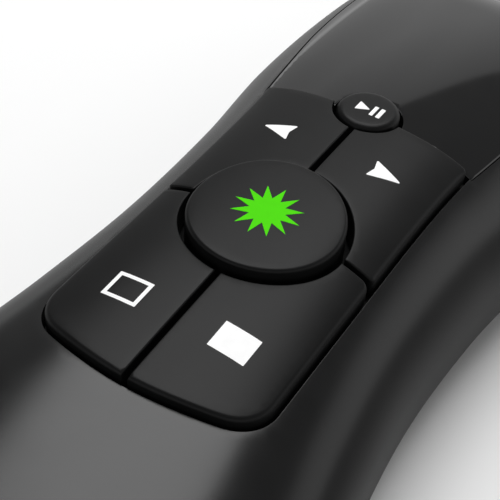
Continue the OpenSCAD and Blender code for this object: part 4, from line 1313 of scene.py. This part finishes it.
nickel = metal("nickel", (0.68, 0.66, 0.62), 0.28, stretch=(1, 1, 0.2))
plate_front, plate_back, cell_z = 5.4, -43.8, 7.9
for name, x, plus_y, way, band in (("left", -5.6, plate_front, -1, (-12, 0)),
                                   ("right", 5.6, plate_back, 1, (-38, -26))):
    lengths = [(0.9 + d) * way + plus_y for d in (0, 0.35, 0.8, 42.8, 43.3, 43.6)]
    start, shoulder, front, back, curl, end = lengths
    sleeve = Body()
    sleeve.rod([(3.6, shoulder), (4.6, shoulder - 0.25 * way), (5.05, shoulder), (5.2, front), (5.2, back),
                (5.1, curl), (4.7, end),
                (4.2, curl), (3.6, curl), (3.6, shoulder)], (x, 0, cell_z), along_y, 64)
    sleeve.made("cell_sleeve_" + name, "root", sleeved("cell_film_" + name, *band), "cell", "battery_" + name)
    cap = Body()
    cap.rod([(0, plus_y), (1.7, plus_y), (1.9, plus_y + 0.2 * way), (1.9, start), (3.4, start),
             (4.3, shoulder), (4.3, front), (0, front)],
            (x, 0, cell_z), along_y, 48)
    cap.rod([(0, back), (4.3, back), (4.3, curl), (4.0, end - 0.05 * way), (3.0, end - 0.15 * way),
             (2.6, end), (0, end)],
            (x, 0, cell_z), along_y, 48)
    cap.made("cell_caps_" + name, "root", nickel, "can")
dress(nickel, "contact_bridge", "contact_left", "contact_right", "spring_left", "spring_right")
dress(tray_black, "battery_tray", "receiver_dock")
insulation = plastic("insulation", (0.02, 0.02, 0.02), 0.4, 1500, 0.002)
lead_tree = insulation.node_tree
lead_side = node(lead_tree, "SeparateXYZ", {0: node(lead_tree, "TexCoord").outputs["Object"]}).outputs["X"]
recoloured(insulation, computed(lead_tree, "GREATER_THAN", lead_side, 0), (0.5, 0.02, 0.02, 1))
dress(insulation, "battery_leads")

# ---- Foam pad ----
# A strip of grey open-cell foam stuck inside the battery door, which keeps the cells from rattling.
# It is a little crowned, and its edges are pulled in where it was cut.
pad = Body()
pad_y, pad_half_x, pad_half_y, pad_low, pad_top, pad_sag = -18, 3.3, 11.9, 1.76, 2.5, 0.10


def pad_face(x, y):
    return pad_top - pad_sag * (x / pad_half_x) ** 2 - pad_sag * ((y - pad_y) / pad_half_y) ** 6


moulded(pad, [rounded_bar(pad_half_x, pad_half_y, 0.7, (0, pad_y))], pad_face, lambda x, y: pad_low, 0.28,
        step=0.5)
foam = plastic("foam_grey", (0.05, 0.05, 0.055), 0.95, 2600, 0.12, mottling=0.3, patch=1500, specular=0.15)
foam_pad = pad.made("foam_pad", "door", foam, "foam", "door_pad")

# ---- Receiver ----
# The plug-in radio receiver stowed in the tail: a black moulded grip with ribs for the finger tips, and
# a folded steel plug with two latch windows, a black tongue and four gold contacts.
grip = Body()


def upright(body, outline, tail, inward, edge):
    """A bar along the handle with its section in the outline, its outer end rounded."""
    rings = []
    for a in evenly(math.pi / 2, 0, 0.4):
        shifted = moved(outline, [edge * (1 - math.cos(a))] * len(outline))
        rings.append([(x, tail + edge * (1 - math.sin(a)), z) for x, z in shifted])
    rings.append([(x, inward, z) for x, z in outline])
    body.bridge(rings)
    for ring, y in ((rings[0], tail), (rings[-1], inward)):
        laid, faces = filled([[(x, z) for x, _, z in ring]], [(0, 99)], 0.1)
        body.patch([(x, y, z) for x, z in laid], faces)


upright(grip, rounded_bar(6.5, 3, 1, (0, receiver_z)), -64.95, -58.6, 0.3)
receiver_black = plastic("receiver_black", (0.012, 0.012, 0.0125), 0.35, 5000, 0.002)
grip.made("receiver_cap", "receiver", receiver_black, "casing", "receiver_grip")
dress(metal("plug_steel", (0.66, 0.66, 0.66), 0.22, stretch=(1, 0.08, 1)), "receiver_plug")
dress(switch_black, "receiver_tongue")
